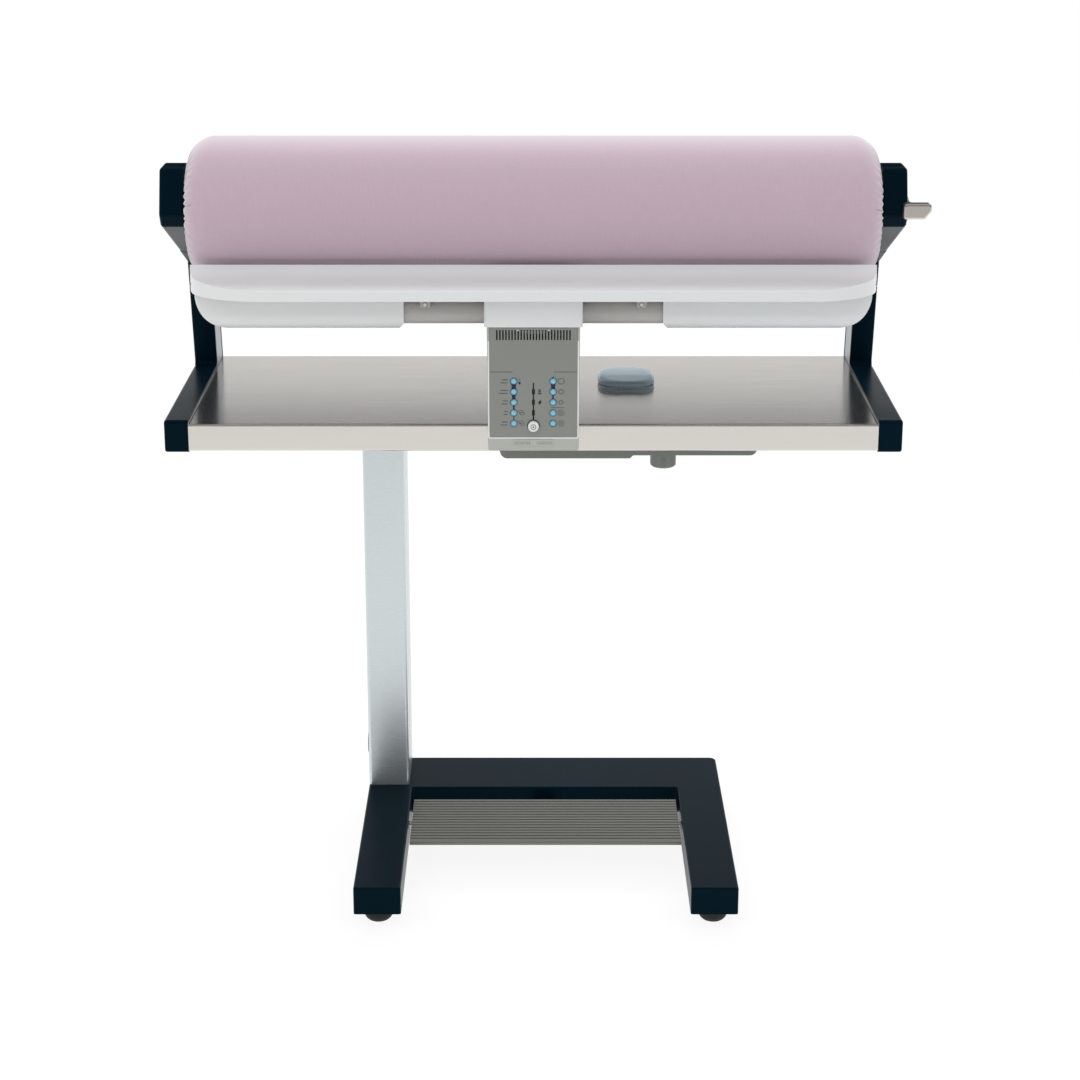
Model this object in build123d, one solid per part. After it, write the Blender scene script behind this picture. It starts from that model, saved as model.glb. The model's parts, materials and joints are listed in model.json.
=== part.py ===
"""Compact flatwork ironer: a padded roller between two swan-neck arms, a heated trough that is
raised against it from below, a feed table, a linen shelf and a single column on a U-shaped base.

Units are millimetres.  While modelling, X runs across the machine from the middle of the roller,
Y runs from the shelf's front edge to the rear, and Z is up from the floor.  Every piece is moved
to the middle of the machine's outline when it is written.
"""

import os
from math import cos, radians, sin

from build123d import *

# ---------------------------------------------------------------- roller and side frames
roller_axis_y = 90.0
roller_axis_z = 911.5
roller_radius = 90.0
roller_front_y = roller_axis_y - roller_radius
roller_half = 424.0
roller_end_round = 33.0
cover_thick = 1.5
hem_inset = 13.0
hem_radius = 42.0
hem_bead = 2.2
padding_gap = 0.2
padding_end_gap = 0.6
padding_thick = 13.0
padding_fit = 0.3
tube_radius = roller_radius - cover_thick - padding_gap - padding_thick - padding_fit
tube_wall = 2.5
tube_end_inset = 19.0
tube_half = roller_half - tube_end_inset
disc_set_back = 1.0
bush_length = 24.0
axle_reach = 8.0
axle_radius = 12.0
motor_set_back = 33.0
motor_length = 246.0
running_gap = 0.06
slide_gap = 0.6

frame_side_gap = 2.0
frame_width = 30.0
frame_inner_x = roller_half + frame_side_gap
frame_outer_x = frame_inner_x + frame_width
frame_wall = 4.0
frame_edge_round = 3.0
head_wall = 2.5
head_edge_round = 4.5
head_split_gap = 2.5
head_plate_thick = 6.0
inner_plate_thick = 2.0

# ---------------------------------------------------------------- shoe: trough, table, covers
shoe_drop = 10.0
shoe_travel = 7.0
shoe_axis_z = roller_axis_z - shoe_drop
trough_inner = roller_radius + 1.0
trough_outer = trough_inner + 12.0
trough_end_inset = 30.0
trough_half = roller_half - trough_end_inset
trough_front_angle = 33.0
trough_rear_angle = 125.0
element_radius = 3.6
element_angles = (55.0, 80.0, 105.0)
shield_air_gap = 7.0
shield_thick = 2.0
shield_inner = trough_outer + shield_air_gap
shield_outer = shield_inner + shield_thick
shield_half = trough_half - 14.0

cross_tube_y = roller_front_y + 10.0
cross_tube_z = shoe_axis_z - shield_outer + 11.5
cross_tube_radius = 15.5
cross_tube_wall = 2.0
cross_tube_half = trough_half - 18.0
carrier_plate_x = (190.0, cross_tube_half - 10.0)
table_post_x = 131.0

table_side_gap = 10.0
table_half = frame_inner_x - table_side_gap
table_depth = 88.0
table_rear_y = cross_tube_y - 2.0
table_front_y = table_rear_y - table_depth
table_front_z = shoe_axis_z - 55.5
table_rear_z = shoe_axis_z - 43.0
table_lip_z = table_front_z - 13.0
table_skirt_z = table_front_z - 17.0
table_screw_y = table_rear_y - 12.0
table_screw_z = table_front_z - 9.5
table_corner = 94.0
table_wall = 3.0

cover_side_inset = 7.0
cover_half = table_half - cover_side_inset
cover_inner_x = 157.0
cover_front_y = cross_tube_y - 21.0
cover_bottom_z = cross_tube_z - 21.0
cover_top_z = table_skirt_z + 9.0
cover_rear_y = roller_axis_y + roller_radius - 15.0
cover_wall = 2.5
cover_end_round = 46.0

# ---------------------------------------------------------------- console
console_half = 56.0
console_half_low = 55.0
console_depth = 44.0
console_rear_y = cross_tube_y - 10.0
console_front_y = console_rear_y - console_depth
console_bottom_z = 639.0
console_top_z = cross_tube_z + 11.0
console_step_z = cross_tube_z - 23.0
console_wall = 2.5
fascia_half = 53.0
fascia_bottom_z = console_bottom_z + 17.0
fascia_top_z = console_step_z + 15.5
fascia_thick = 2.5
vent_count = 25
vent_pitch = 3.65
vent_width = 1.8
vent_low_z = fascia_top_z - 16.0
vent_high_z = fascia_top_z - 3.5
button_radius = 3.75
button_column_x = 23.7
button_top_z = fascia_bottom_z + 70.5
button_pitch = 13.2
button_rows = 5
button_travel = 1.0
slider_rest_z = fascia_bottom_z + 14.7
slider_travel = 50.0
slider_radius = 6.5
slot_width = 1.6
actuator_y = cross_tube_y - 30.0
actuator_rod_radius = 5.0
actuator_foot_z = console_bottom_z + 11.0
actuator_stop_z = actuator_foot_z + 50.0

# ---------------------------------------------------------------- shelf and steam unit
shelf_top_z = 659.0
shelf_flange_z = 625.0
shelf_rear_y = 337.0
shelf_side_gap = 0.6
shelf_half = frame_inner_x - shelf_side_gap
sheet_thick = 1.2
rear_flange_z = shelf_flange_z + 9.0
seam_y = 2.4
seam_width = 1.6
seam_depth = 0.7
lid_x0, lid_x1 = 84.0, 159.0
lid_y0, lid_y1 = 166.0, 228.0
lid_height = 13.5
lid_wall = 2.2
lid_corner = 17.0
flange_thick = 1.5
lid_pivot_y = 232.5
lid_pivot_z = 664.0
lid_pin_radius = 1.5
neck_x0, neck_x1 = 96.0, 147.0
neck_y0, neck_y1 = 178.0, 216.0
unit_x0, unit_step_x, unit_x1 = -43.0, 126.0, 284.0
unit_y0, unit_y1 = 60.0, 238.0
unit_low_z, unit_high_z = 597.0, 601.0
unit_wall = 2.5
drain_x, drain_y = 165.0, 80.0
drain_radius = 16.5
drain_low_z = 582.0

# ---------------------------------------------------------------- column and base
column_x0, column_x1 = -231.0, -174.7
column_front_y, column_rear_y = 249.0, 339.0
column_gap_y = 276.0
column_gap = 3.0
column_sheet = 1.5
base_bottom_z = 21.0
base_top_z = 58.0
foot_front_y = -58.0
base_rear_y = 341.0
beam_front_y = 240.0
left_foot_x0, left_foot_x1 = -231.0, -170.0
right_foot_x0, right_foot_x1 = 202.0, 263.0
base_wall = 3.0
glide_radius = 19.0
glide_dome = 11.0
glide_front_y, glide_rear_y = -28.0, 311.0
pedal_side_gap = 4.0
pedal_front_y, pedal_rear_y = 83.0, 211.0
pedal_plate_z = 48.0
pedal_plate_thick = 3.8
pedal_rib_count = 15
pedal_rib_height = 1.2
pedal_rib_width = 5.0
pedal_pivot_y, pedal_pivot_z = 154.0, 44.0
pedal_pin_radius = 4.0

# ---------------------------------------------------------------- release lever
lever_reach = 26.0
lever_tip_x = frame_outer_x + lever_reach
lever_bar_x = frame_outer_x - 8.0
lever_bar_y0, lever_bar_y1 = roller_axis_y - 68.0, roller_axis_y - 56.0
lever_bar_z0, lever_bar_z1 = roller_axis_z - 0.5, roller_axis_z + 18.5
lever_pin_radius = 8.0

# The library's origin is the middle of the outline at floor level.
origin_x = (lever_tip_x - frame_outer_x) / 2
origin_y = (table_front_y + base_rear_y) / 2


# ================================================================ drawing helpers
def box_between(x0, x1, y0, y1, z0, z1):
    """A block between two opposite corners."""
    return Pos((x0 + x1) / 2, (y0 + y1) / 2, (z0 + z1) / 2) * Box(x1 - x0, y1 - y0, z1 - z0)


def rod_x(y, z, radius, x0, x1):
    """A round bar lying across the machine."""
    return extrude(Plane.YZ.offset(x0) * Pos(y, z) * Circle(radius), x1 - x0, dir=(1, 0, 0))


def rod_y(x, z, radius, y0, y1):
    """A round bar lying front to rear."""
    return extrude(Plane.XZ.offset(-y0) * Pos(x, z) * Circle(radius), y1 - y0, dir=(0, 1, 0))


def rod_z(x, y, radius, z0, z1):
    """An upright round bar."""
    return extrude(Plane.XY.offset(z0) * Pos(x, y) * Circle(radius), z1 - z0, dir=(0, 0, 1))


def rounded(points, radii):
    """A closed outline with its own radius at each corner."""
    return make_face(FilletPolyline(*points, radius=radii, close=True))


def across(outline, x0, x1):
    """Extrude a side-view outline (Y, Z) across the machine."""
    return extrude(Plane.YZ.offset(x0) * outline, x1 - x0, dir=(1, 0, 0))


def rearwards(outline, y0, y1):
    """Extrude a front-view outline (X, Z) from front to rear."""
    return extrude(Plane.XZ.offset(-y0) * outline, y1 - y0, dir=(0, 1, 0))


def upwards(outline, z0, z1):
    """Extrude a plan outline (X, Y) upwards."""
    return extrude(Plane.XY.offset(z0) * outline, z1 - z0, dir=(0, 0, 1))


def rounded_rect(x0, x1, y0, y1, radius):
    """A plan rectangle with equal corner radii."""
    return Pos((x0 + x1) / 2, (y0 + y1) / 2) * RectangleRounded(x1 - x0, y1 - y0, radius)


def turned_about_roller(profile):
    """Revolve a half profile drawn as (distance along X, radius) about the roller's axis."""
    placed = Plane(origin=(0, roller_axis_y, roller_axis_z), x_dir=(1, 0, 0), z_dir=(0, -1, 0))
    return revolve(placed * profile, Axis((0, roller_axis_y, roller_axis_z), (1, 0, 0)))


def flipped(shape):
    """The left-hand twin of a right-hand piece."""
    return mirror(shape, about=Plane.YZ)


def around_shoe(radius, angle):
    """Point at an angle below the horizontal, seen from the right, about the trough's centre."""
    return (roller_axis_y - radius * cos(radians(angle)), shoe_axis_z - radius * sin(radians(angle)))


def shoe_arc(inner, outer, start, end, half):
    """A piece of ring about the trough's centre, between two angles."""
    middle = (start + end) / 2
    edge = (
        Line(around_shoe(inner, start), around_shoe(outer, start))
        + ThreePointArc(around_shoe(outer, start), around_shoe(outer, middle), around_shoe(outer, end))
        + Line(around_shoe(outer, end), around_shoe(inner, end))
        + ThreePointArc(around_shoe(inner, end), around_shoe(inner, middle), around_shoe(inner, start))
    )
    return across(make_face(edge), -half, half)


# ================================================================ base, column and pedal
def base_plan():
    return rounded(
        [
            (left_foot_x0, foot_front_y),
            (left_foot_x1, foot_front_y),
            (left_foot_x1, beam_front_y),
            (right_foot_x0, beam_front_y),
            (right_foot_x0, foot_front_y),
            (right_foot_x1, foot_front_y),
            (right_foot_x1, base_rear_y),
            (left_foot_x0, base_rear_y),
        ],
        [3, 3, 5, 5, 3, 3, 9, 9],
    )


def glide_places():
    for x in ((left_foot_x0 + left_foot_x1) / 2, (right_foot_x0 + right_foot_x1) / 2):
        for y in (glide_front_y, glide_rear_y):
            yield x, y


def base_frame():
    """U-shaped base: a folded channel, open below, with a screwed boss over each glide."""
    plan = base_plan()
    body = upwards(plan, base_bottom_z, base_top_z)
    body = fillet(body.edges().group_by(Axis.Z)[-1], 2.5)
    body -= upwards(offset(plan, -base_wall), base_bottom_z - 1, base_top_z - base_wall)
    for x, y in glide_places():
        body += rod_z(x, y, 11, base_bottom_z, base_top_z - base_wall)
        body -= rod_z(x, y, 4.1, base_bottom_z - 1, base_bottom_z + 22)
    for x0, x1 in ((left_foot_x1 - 10, left_foot_x1 + 1), (right_foot_x0 - 1, right_foot_x0 + 10)):
        body -= rod_x(pedal_pivot_y, pedal_pivot_z, pedal_pin_radius + 0.1, x0, x1)
    return body


def rubber_glides():
    """Four screw-in rubber glides with a rounded foot."""
    r, dome = glide_radius, glide_dome
    steps = [(r - dome + dome * sin(radians(a)), dome - dome * cos(radians(a))) for a in range(0, 91, 18)]
    profile = make_face(Polyline((0, 0), *steps, (r, dome + 4), (r - 3, base_bottom_z), (4, base_bottom_z),
                                 (4, base_bottom_z + 18), (0, base_bottom_z + 18), (0, 0)))
    glide = revolve(Plane.XZ * profile, Axis.Z)
    return Part() + [Pos(x, y, 0) * glide for x, y in glide_places()]


def column_post():
    """Structural tube hidden by the two column covers, welded between base and cross beam."""
    inset = column_sheet + 1.0
    x0, x1 = column_x0 + inset, column_x1 - inset
    y0, y1 = column_front_y + inset, column_rear_y - inset
    tube = rounded_rect(x0, x1, y0, y1, 5)
    bore = rounded_rect(x0 + 2.5, x1 - 2.5, y0 + 2.5, y1 - 2.5, 2.5)
    return upwards(tube - bore, base_top_z, beam_low_z)


def column_front_cover():
    """Folded cover round the front of the post."""
    depth = column_gap_y - column_front_y
    outer = rounded_rect(column_x0, column_x1, column_front_y, column_front_y + 2 * depth, 4)
    inner = rounded_rect(column_x0 + column_sheet, column_x1 - column_sheet,
                         column_front_y + column_sheet, column_front_y + 2 * depth - column_sheet, 2.5)
    ring = upwards(outer - inner, base_top_z, column_top_z)
    return ring & box_between(column_x0 - 1, column_x1 + 1, column_front_y - 1, column_gap_y, 0,
                              column_top_z + 70)


def column_rear_cover():
    """Folded cover round the rear of the post, with the hole of the cable gland."""
    start = column_gap_y + column_gap
    depth = column_rear_y - start
    outer = rounded_rect(column_x0, column_x1, column_rear_y - 2 * depth, column_rear_y, 4)
    inner = rounded_rect(column_x0 + column_sheet, column_x1 - column_sheet,
                         column_rear_y - 2 * depth + column_sheet, column_rear_y - column_sheet, 2.5)
    ring = upwards(outer - inner, base_top_z, column_top_z)
    ring = ring & box_between(column_x0 - 1, column_x1 + 1, start, column_rear_y + 1, 0,
                              column_top_z + 70)
    return ring - rod_x(gland_y, gland_z, 8.2, column_x0 - 1, column_x0 + 3)


beam_low_z = 629.5
beam_high_z = shelf_top_z - sheet_thick - 0.3
column_top_z = 628.5
gland_y, gland_z = 304.0, 101.0


def cable_gland():
    """Round gland on the column's left side, where the supply cable enters."""
    x = column_x0
    cap = rod_x(gland_y, gland_z, 18.5, x - 3.6, x)
    cap = chamfer(cap.edges().group_by(Axis.X)[0], 1.6)
    cap += rod_x(gland_y, gland_z, 8.0, x, x + 2.2)
    return cap - rod_x(gland_y, gland_z, 4.0, x - 5, x + 3)


def pedal_plate():
    """Ribbed aluminium tread with a rolled front lip and a tube below for the pivot pins."""
    x0, x1 = left_foot_x1 + pedal_side_gap, right_foot_x0 - pedal_side_gap
    top = pedal_plate_z + pedal_plate_thick
    plate = box_between(x0, x1, pedal_front_y, pedal_rear_y, pedal_plate_z, top)
    high = top + pedal_rib_height
    lip = across(rounded([(pedal_front_y, pedal_plate_z), (pedal_front_y + 8, pedal_plate_z),
                          (pedal_front_y + 8, high), (pedal_front_y, high)], [1.5, 0.5, 0.5, 2]), x0, x1)
    plate += lip
    pitch = (pedal_rear_y - pedal_front_y - 16) / (pedal_rib_count - 1)
    for i in range(pedal_rib_count):
        y = pedal_front_y + 14 + i * pitch
        plate += box_between(x0, x1, y - pedal_rib_width / 2, y + pedal_rib_width / 2,
                             top - 0.2, top + pedal_rib_height)
    plate += rod_x(pedal_pivot_y, pedal_pivot_z, 7.5, x0, x1)
    return plate - rod_x(pedal_pivot_y, pedal_pivot_z, pedal_pin_radius + running_gap, x0 - 1, x1 + 1)


def pedal_pins():
    """Two pins that stand in the feet and carry the pedal."""
    left = rod_x(pedal_pivot_y, pedal_pivot_z, pedal_pin_radius, left_foot_x1 - 6, left_foot_x1 + 20)
    right = rod_x(pedal_pivot_y, pedal_pivot_z, pedal_pin_radius, right_foot_x0 - 20, right_foot_x0 + 6)
    return Part() + [left, right]


def pedal_torsion_bar():
    """Spring-steel bar inside the pedal's tube that brings the tread back."""
    return rod_x(pedal_pivot_y, pedal_pivot_z, 2.0, left_foot_x1 + 20.5, right_foot_x0 - 20.5)


def pedal_switch():
    """Small switch on the rear beam, under the tread's rear edge."""
    body = box_between(0, 28, 199, beam_front_y, 27, 41)
    body = fillet(body.edges().filter_by(Axis.X), 1.5)
    return body + rod_z(14, 205, 2.5, 40, pedal_plate_z - 0.6)


# ================================================================ side frames
def frame_outline():
    """Side view of one frame: shelf bracket, arm and neck, up to the head's split line."""
    y, z = roller_axis_y, roller_axis_z
    low, high = shelf_flange_z - bracket_lap, shelf_top_z + bracket_rise
    return rounded(
        [(3, low), (shelf_rear_y, low), (shelf_rear_y, high), (y + 204, z - 30.7),
         head_split_top, head_split_low, (y + 159, z - 102.5), (shelf_rear_y - 59, high), (3, high)],
        [4, 10, 30, 22, 0, 0, 7, 5, 4],
    )


bracket_lap = 3.0
bracket_rise = 4.0
head_split_low = (roller_axis_y + 100.0, roller_axis_z - 76.0)
head_split_top = (roller_axis_y + 133.3, roller_axis_z + 0.2)


def head_outline(shift):
    """Side view of the head, its split edge moved along the neck by shift."""
    dy, dz = shift * 0.918, shift * -0.396
    low = (head_split_low[0] + dy, head_split_low[1] + dz)
    top = (head_split_top[0] + dy, head_split_top[1] + dz)
    y, z = roller_axis_y, roller_axis_z
    return rounded([low, (y - 44, z - 14), (y - 53.4, z + 1.5), (y - 34.4, z + 57.1), (y + 3, z + 57.1), top],
                   [0, 6, 5, 6, 14, 0])


def side_frame():
    """Cast arm, open on its inner side, with ribs and the plate that carries the axle."""
    outline = frame_outline()
    body = across(outline, frame_inner_x, frame_outer_x)
    body = fillet(body.edges().group_by(Axis.X)[-1], frame_edge_round)
    body -= across(offset(outline, -frame_wall), frame_inner_x - 1, frame_outer_x - frame_wall)
    rib_x = frame_inner_x + inner_plate_thick + 1.0
    low, high, z = shelf_flange_z - 1, shelf_top_z + 2, roller_axis_z
    for y0, z0, y1, z1 in ((80, low, 92, high), (160, low, 172, high), (285, high + 39, 330, high + 51),
                           (272, high + 119, 318, high + 131), (262, z - 66.5, 300, z - 54.5)):
        body += box_between(rib_x, frame_outer_x - 1, y0, y1, z0, z1) & across(
            outline, frame_inner_x - 20, frame_outer_x + 20)
    plate = across(offset(head_outline(26), -head_wall - 0.5), plate_x0, plate_x1)
    body += plate - across(offset(outline, 0.01), frame_inner_x - 1, rib_x)
    return body - rod_x(roller_axis_y, roller_axis_z, axle_radius + 0.1, frame_inner_x - 20, frame_outer_x + 20)


plate_x0 = frame_inner_x + inner_plate_thick + 1.0
plate_x1 = plate_x0 + head_plate_thick


def head_cover():
    """Moulded cover over the head, open towards the roller and to the neck."""
    body = across(head_outline(-head_split_gap), frame_inner_x, frame_outer_x)
    body = fillet(body.edges().group_by(Axis.X)[-1], head_edge_round)
    return body - across(offset(head_outline(8), -head_wall), frame_inner_x - 1, frame_outer_x - head_wall)


def inner_plate():
    """Bright sheet that closes the open side of the cast arm."""
    sheet = across(offset(frame_outline(), -frame_wall - 0.3), frame_inner_x + 0.5,
                   frame_inner_x + 0.5 + inner_plate_thick)
    return sheet


def axle(hollow):
    """Stub axle with a flange bolted to the head plate; the left one carries the motor cable."""
    y, z = roller_axis_y, roller_axis_z
    start = bush_x0 - axle_reach
    body = rod_x(y, z, axle_radius, start, plate_x1) + rod_x(y, z, 25, plate_x1, plate_x1 + 5)
    for angle in range(45, 360, 90):
        bolt_y, bolt_z = y + 18.5 * cos(radians(angle)), z + 18.5 * sin(radians(angle))
        body += rod_x(bolt_y, bolt_z, 4, plate_x1 + 5, plate_x1 + 9)
    if hollow:
        body -= rod_x(y, z, 6, start - 14, plate_x1 + 10)
    else:
        body += rod_x(y, z, lever_pin_radius, plate_x1 + 5, lever_hub_x1)
    return body


lever_hub_x0 = frame_outer_x + 0.6
lever_hub_x1 = lever_hub_x0 + 6.5


def release_lever():
    """Flat arm outside the right head with a folded bar in front of the head as its handle."""
    y, z = roller_axis_y, roller_axis_z
    hub = rod_x(y, z, 15, lever_hub_x0, lever_hub_x1)
    arm = across(rounded([(lever_bar_y0 + 2, lever_bar_z0), (y, z - 11), (y, z + 11),
                          (lever_bar_y0 + 2, lever_bar_z1)], [3, 0, 0, 3]), lever_hub_x0, lever_hub_x0 + 4)
    bar_face = rounded([(lever_bar_x, lever_bar_z0), (lever_tip_x - 8, lever_bar_z0),
                        (lever_tip_x, lever_bar_z0 + 10), (lever_tip_x, lever_bar_z1),
                        (lever_bar_x, lever_bar_z1)], [3, 2, 3, 4, 4])
    bar = rearwards(bar_face, lever_bar_y0, lever_bar_y1)
    bar = fillet(bar.edges().group_by(Axis.Y)[0], 2.5)
    lever = hub + arm + bar
    return lever - rod_x(y, z, lever_pin_radius + running_gap, lever_hub_x0 - 1, lever_hub_x1 + 1)


bush_x1 = tube_half + disc_set_back
bush_x0 = bush_x1 - bush_length


def frame_screws():
    """Domed screw and washer that keep the lever on its pin."""
    y, z = roller_axis_y, roller_axis_z
    washer = rod_x(y, z, 11, lever_hub_x1 + 0.3, lever_hub_x1 + 1.5)
    head = rod_x(y, z, 6.5, lever_hub_x1 + 1.5, lever_hub_x1 + 5)
    return washer + chamfer(head.edges().group_by(Axis.X)[-1], 1.8)


# ================================================================ roller
def roller_tube():
    ring = Circle(tube_radius) - Circle(tube_radius - tube_wall)
    return across(Pos(roller_axis_y, roller_axis_z) * ring, -tube_half, tube_half)


def end_disc():
    """Dished end disc with a hub for the bush."""
    inside = tube_radius - tube_wall - 0.1
    x = tube_half - disc_set_back
    hub = axle_radius + 4.05
    profile = make_face(Polyline(
        (x - 20, hub), (x, hub), (x, 24), (x - 4, 28), (x - 4, inside - 8), (x, inside - 4), (x, inside),
        (x - 12, inside), (x - 12, inside - 3), (x - 8, inside - 9), (x - 8, 26), (x - 20, 22), (x - 20, hub)))
    return turned_about_roller(profile)


def bush():
    bore, outside = axle_radius + running_gap, axle_radius + 4
    profile = make_face(Polyline((bush_x0, bore), (bush_x1, bore), (bush_x1, outside), (bush_x0, outside),
                                 (bush_x0, bore)))
    return turned_about_roller(profile)


def roller_padding():
    """Springy padding over the tube, turned in over both ends."""
    r = roller_radius - cover_thick - padding_gap
    c = roller_half - roller_end_round
    e = roller_end_round - cover_thick - padding_gap
    low = roller_radius - roller_end_round
    arc = CenterArc((c, low), e, 5.5, 84.5)
    start, end = arc @ 0, arc @ 1
    x = tube_half + padding_end_gap
    half = make_face(
        Polyline((end.X, end.Y), (0, r), (0, tube_radius + padding_fit), (x, tube_radius + padding_fit),
                 (x, start.Y), (start.X, start.Y)) + arc)
    return turned_about_roller(half + mirror(half, about=Plane.YZ))


def roller_cover():
    """Cotton cover drawn in over both ends of the padding, with a gathered hem."""
    c = roller_half - roller_end_round
    low = roller_radius - roller_end_round
    e = roller_end_round
    hem_x, hem_r, bead = roller_half - hem_inset, hem_radius, hem_bead
    outer = (Line((0, roller_radius), (c, roller_radius))
             + CenterArc((c, low), e, 90, -90)
             + Polyline((roller_half, low), (roller_half - 3.5, low - 8), (hem_x + bead, hem_r)))
    inner = (Polyline((hem_x + bead, hem_r), (hem_x + bead - 3, hem_r - 2.2), (hem_x - bead, hem_r + 1.2),
                      (roller_half - 6.2, low - 6.5), (roller_half - cover_thick, low))
             + CenterArc((c, low), e - cover_thick, 0, 90)
             + Polyline((c, roller_radius - cover_thick), (0, roller_radius - cover_thick), (0, roller_radius)))
    half = make_face(outer + inner)
    return turned_about_roller(half + mirror(half, about=Plane.YZ))


def drive_motor():
    """Tubular geared motor that hangs on the left axle inside the roller."""
    y, z, start, end = roller_axis_y, roller_axis_z, motor_x0, motor_x1
    body = rod_x(y, z, 29, start, end)
    body = chamfer(body.edges(), 2)
    body += rod_x(y, z, 18, start - 9, start) + rod_x(y, z, 16, end, end + 8)
    body -= rod_x(y, z, axle_radius + 0.05, start - 10, start + 2)
    return body - rod_x(y, z, motor_shaft_radius + running_gap, end - 14, end + 9)


motor_x0 = -(tube_half - motor_set_back)
motor_x1 = motor_x0 + motor_length
motor_shaft_radius = 9.0


def drive_disc():
    """Disc on the motor's output shaft that passes its turn to the tube."""
    inside = tube_radius - tube_wall - 0.1
    x, shaft = motor_x1, motor_shaft_radius
    profile = make_face(Polyline(
        (x - 12, 0), (x + 40, 0), (x + 40, 18), (x + 30, 20), (x + 30, inside), (x + 18, inside),
        (x + 18, inside - 3), (x + 26, inside - 5), (x + 26, 22), (x + 14, 18), (x + 14, shaft),
        (x - 12, shaft), (x - 12, 0)))
    disc = turned_about_roller(profile)
    for angle in range(0, 360, 60):
        y = roller_axis_y + 45 * cos(radians(angle))
        z = roller_axis_z + 45 * sin(radians(angle))
        disc -= rod_x(y, z, 11, x + 11, x + 41)
    return disc


# ================================================================ shoe
def heated_trough():
    """Polished aluminium trough, bored to the roller, grooved outside for its elements."""
    body = shoe_arc(trough_inner, trough_outer, trough_front_angle, trough_rear_angle, trough_half)
    for angle in element_angles:
        y, z = around_shoe(trough_outer - 1.5, angle)
        body -= rod_x(y, z, element_radius + 0.05, -trough_half - 1, trough_half + 1)
    return body


def heating_elements():
    """Three tubular elements with thinner terminal pins."""
    rods = []
    for angle in element_angles:
        y, z = around_shoe(trough_outer - 1.5, angle)
        sheath, pins = trough_half - 8, trough_half + 2
        rods.append(rod_x(y, z, element_radius, -sheath, sheath) + rod_x(y, z, 1.8, -pins, pins))
    return Part() + rods


def trough_shield():
    """Bright steel shell under the trough, its long edges folded in to hold it."""
    shell = shoe_arc(shield_inner, shield_outer, trough_front_angle + 1, trough_rear_angle, shield_half)
    for start in (trough_front_angle + 1, trough_rear_angle - 1):
        shell += shoe_arc(trough_outer + 0.1, shield_outer, start, start + 1, shield_half)
    return shell


def shoe_carrier():
    """Steel tube across the machine, welded to four trough plates and two posts for the table."""
    ring = Circle(cross_tube_radius) - Circle(cross_tube_radius - cross_tube_wall)
    tube = across(Pos(cross_tube_y, cross_tube_z) * ring, -cross_tube_half, cross_tube_half)
    y, z, low = cross_tube_y, cross_tube_z, cover_bottom_z + cover_wall + 0.7
    blank = rounded([(cover_front_y + 3, low), (y + 90, low), (y + 90, z - 1), (y + 10, z + 31),
                     (cover_front_y + 3, z + 31)], [18.3, 0, 0, 0, 2])
    blank -= Pos(roller_axis_y, shoe_axis_z) * Circle(shield_outer + 0.05)
    blank -= Pos(cross_tube_y, cross_tube_z) * Circle(cross_tube_radius - 0.5)
    plates = [across(blank, side * x - 2, side * x + 2) for x in carrier_plate_x for side in (-1, 1)]
    return tube + plates + table_posts()


def table_profile(drop):
    """Side view of the feed table's top face, lowered by drop, and its open underside."""
    top = Spline((table_front_y + 2, table_front_z - drop + 0.2), (-40, table_front_z + 2.4 - drop),
                 (-12, table_front_z + 5.0 - drop), (table_rear_y, table_rear_z - drop))
    return top


def feed_table():
    """Moulded feed table: rounded front corners, turned-down edge, ribs below."""
    rim = 4.0
    top = table_profile(0)
    edge = (RadiusArc((table_front_y, table_front_z - rim), top @ 0, 3.2) + top
            + Polyline(top @ 1, (table_rear_y, table_skirt_z), (table_front_y + 60, table_skirt_z),
                       (table_front_y, table_lip_z),
                       (table_front_y, table_front_z - rim)))
    rear, bottom, top_z = table_rear_y + 52, table_front_z - 46, table_front_z + 34
    plan = rounded([(-table_half, table_front_y), (table_half, table_front_y),
                    (table_half, rear), (-table_half, rear)], [table_corner, table_corner, 0, 0])
    body = across(make_face(edge), -table_half, table_half) & upwards(plan, bottom, top_z)
    low = table_profile(table_wall)
    hollow = (low + Polyline(low @ 1, (rear, table_rear_z - table_wall), (rear, bottom),
                             (table_front_y + 2, bottom), low @ 0))
    inside = rounded([(-table_half + table_wall, table_front_y + table_wall),
                      (table_half - table_wall, table_front_y + table_wall),
                      (table_half - table_wall, rear + 10), (-table_half + table_wall, rear + 10)],
                     [table_corner - table_wall, table_corner - table_wall, 0, 0])
    cavity = across(make_face(hollow), -table_half, table_half) & upwards(inside, bottom - 10, top_z)
    ribs = Part()
    for i in range(4):
        for side in (-1, 1):
            x = side * (84 + 98 * i)
            ribs += box_between(x - 1, x + 1, table_front_y + 2, table_rear_y - 14, table_front_z - 8,
                                table_front_z + 10)
    ribs = (ribs & body) & cavity
    body = body - cavity + ribs
    for side in (-1, 1):
        ends = sorted((side * (table_half - 4), side * (table_half + 2)))
        body -= rod_x(table_screw_y, table_screw_z, 3.1, *ends)
    return body


def shoe_screws():
    """Screws in the recess at each end of the table and bright ones in the two posts."""
    right = rod_x(table_screw_y, table_screw_z, 3.0, table_half - table_wall + 0.1, table_half - 1.2)
    y = cross_tube_y - cross_tube_radius - 2.5
    screws = [right, flipped(right)]
    for x in (-table_post_x, table_post_x):
        for z in (cross_tube_z + 11.5, cross_tube_z + 25):
            screws.append(chamfer(rod_y(x, z, 3.0, y - 2.4, y).edges().group_by(Axis.Y)[0], 0.9))
    return Part() + screws


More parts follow.
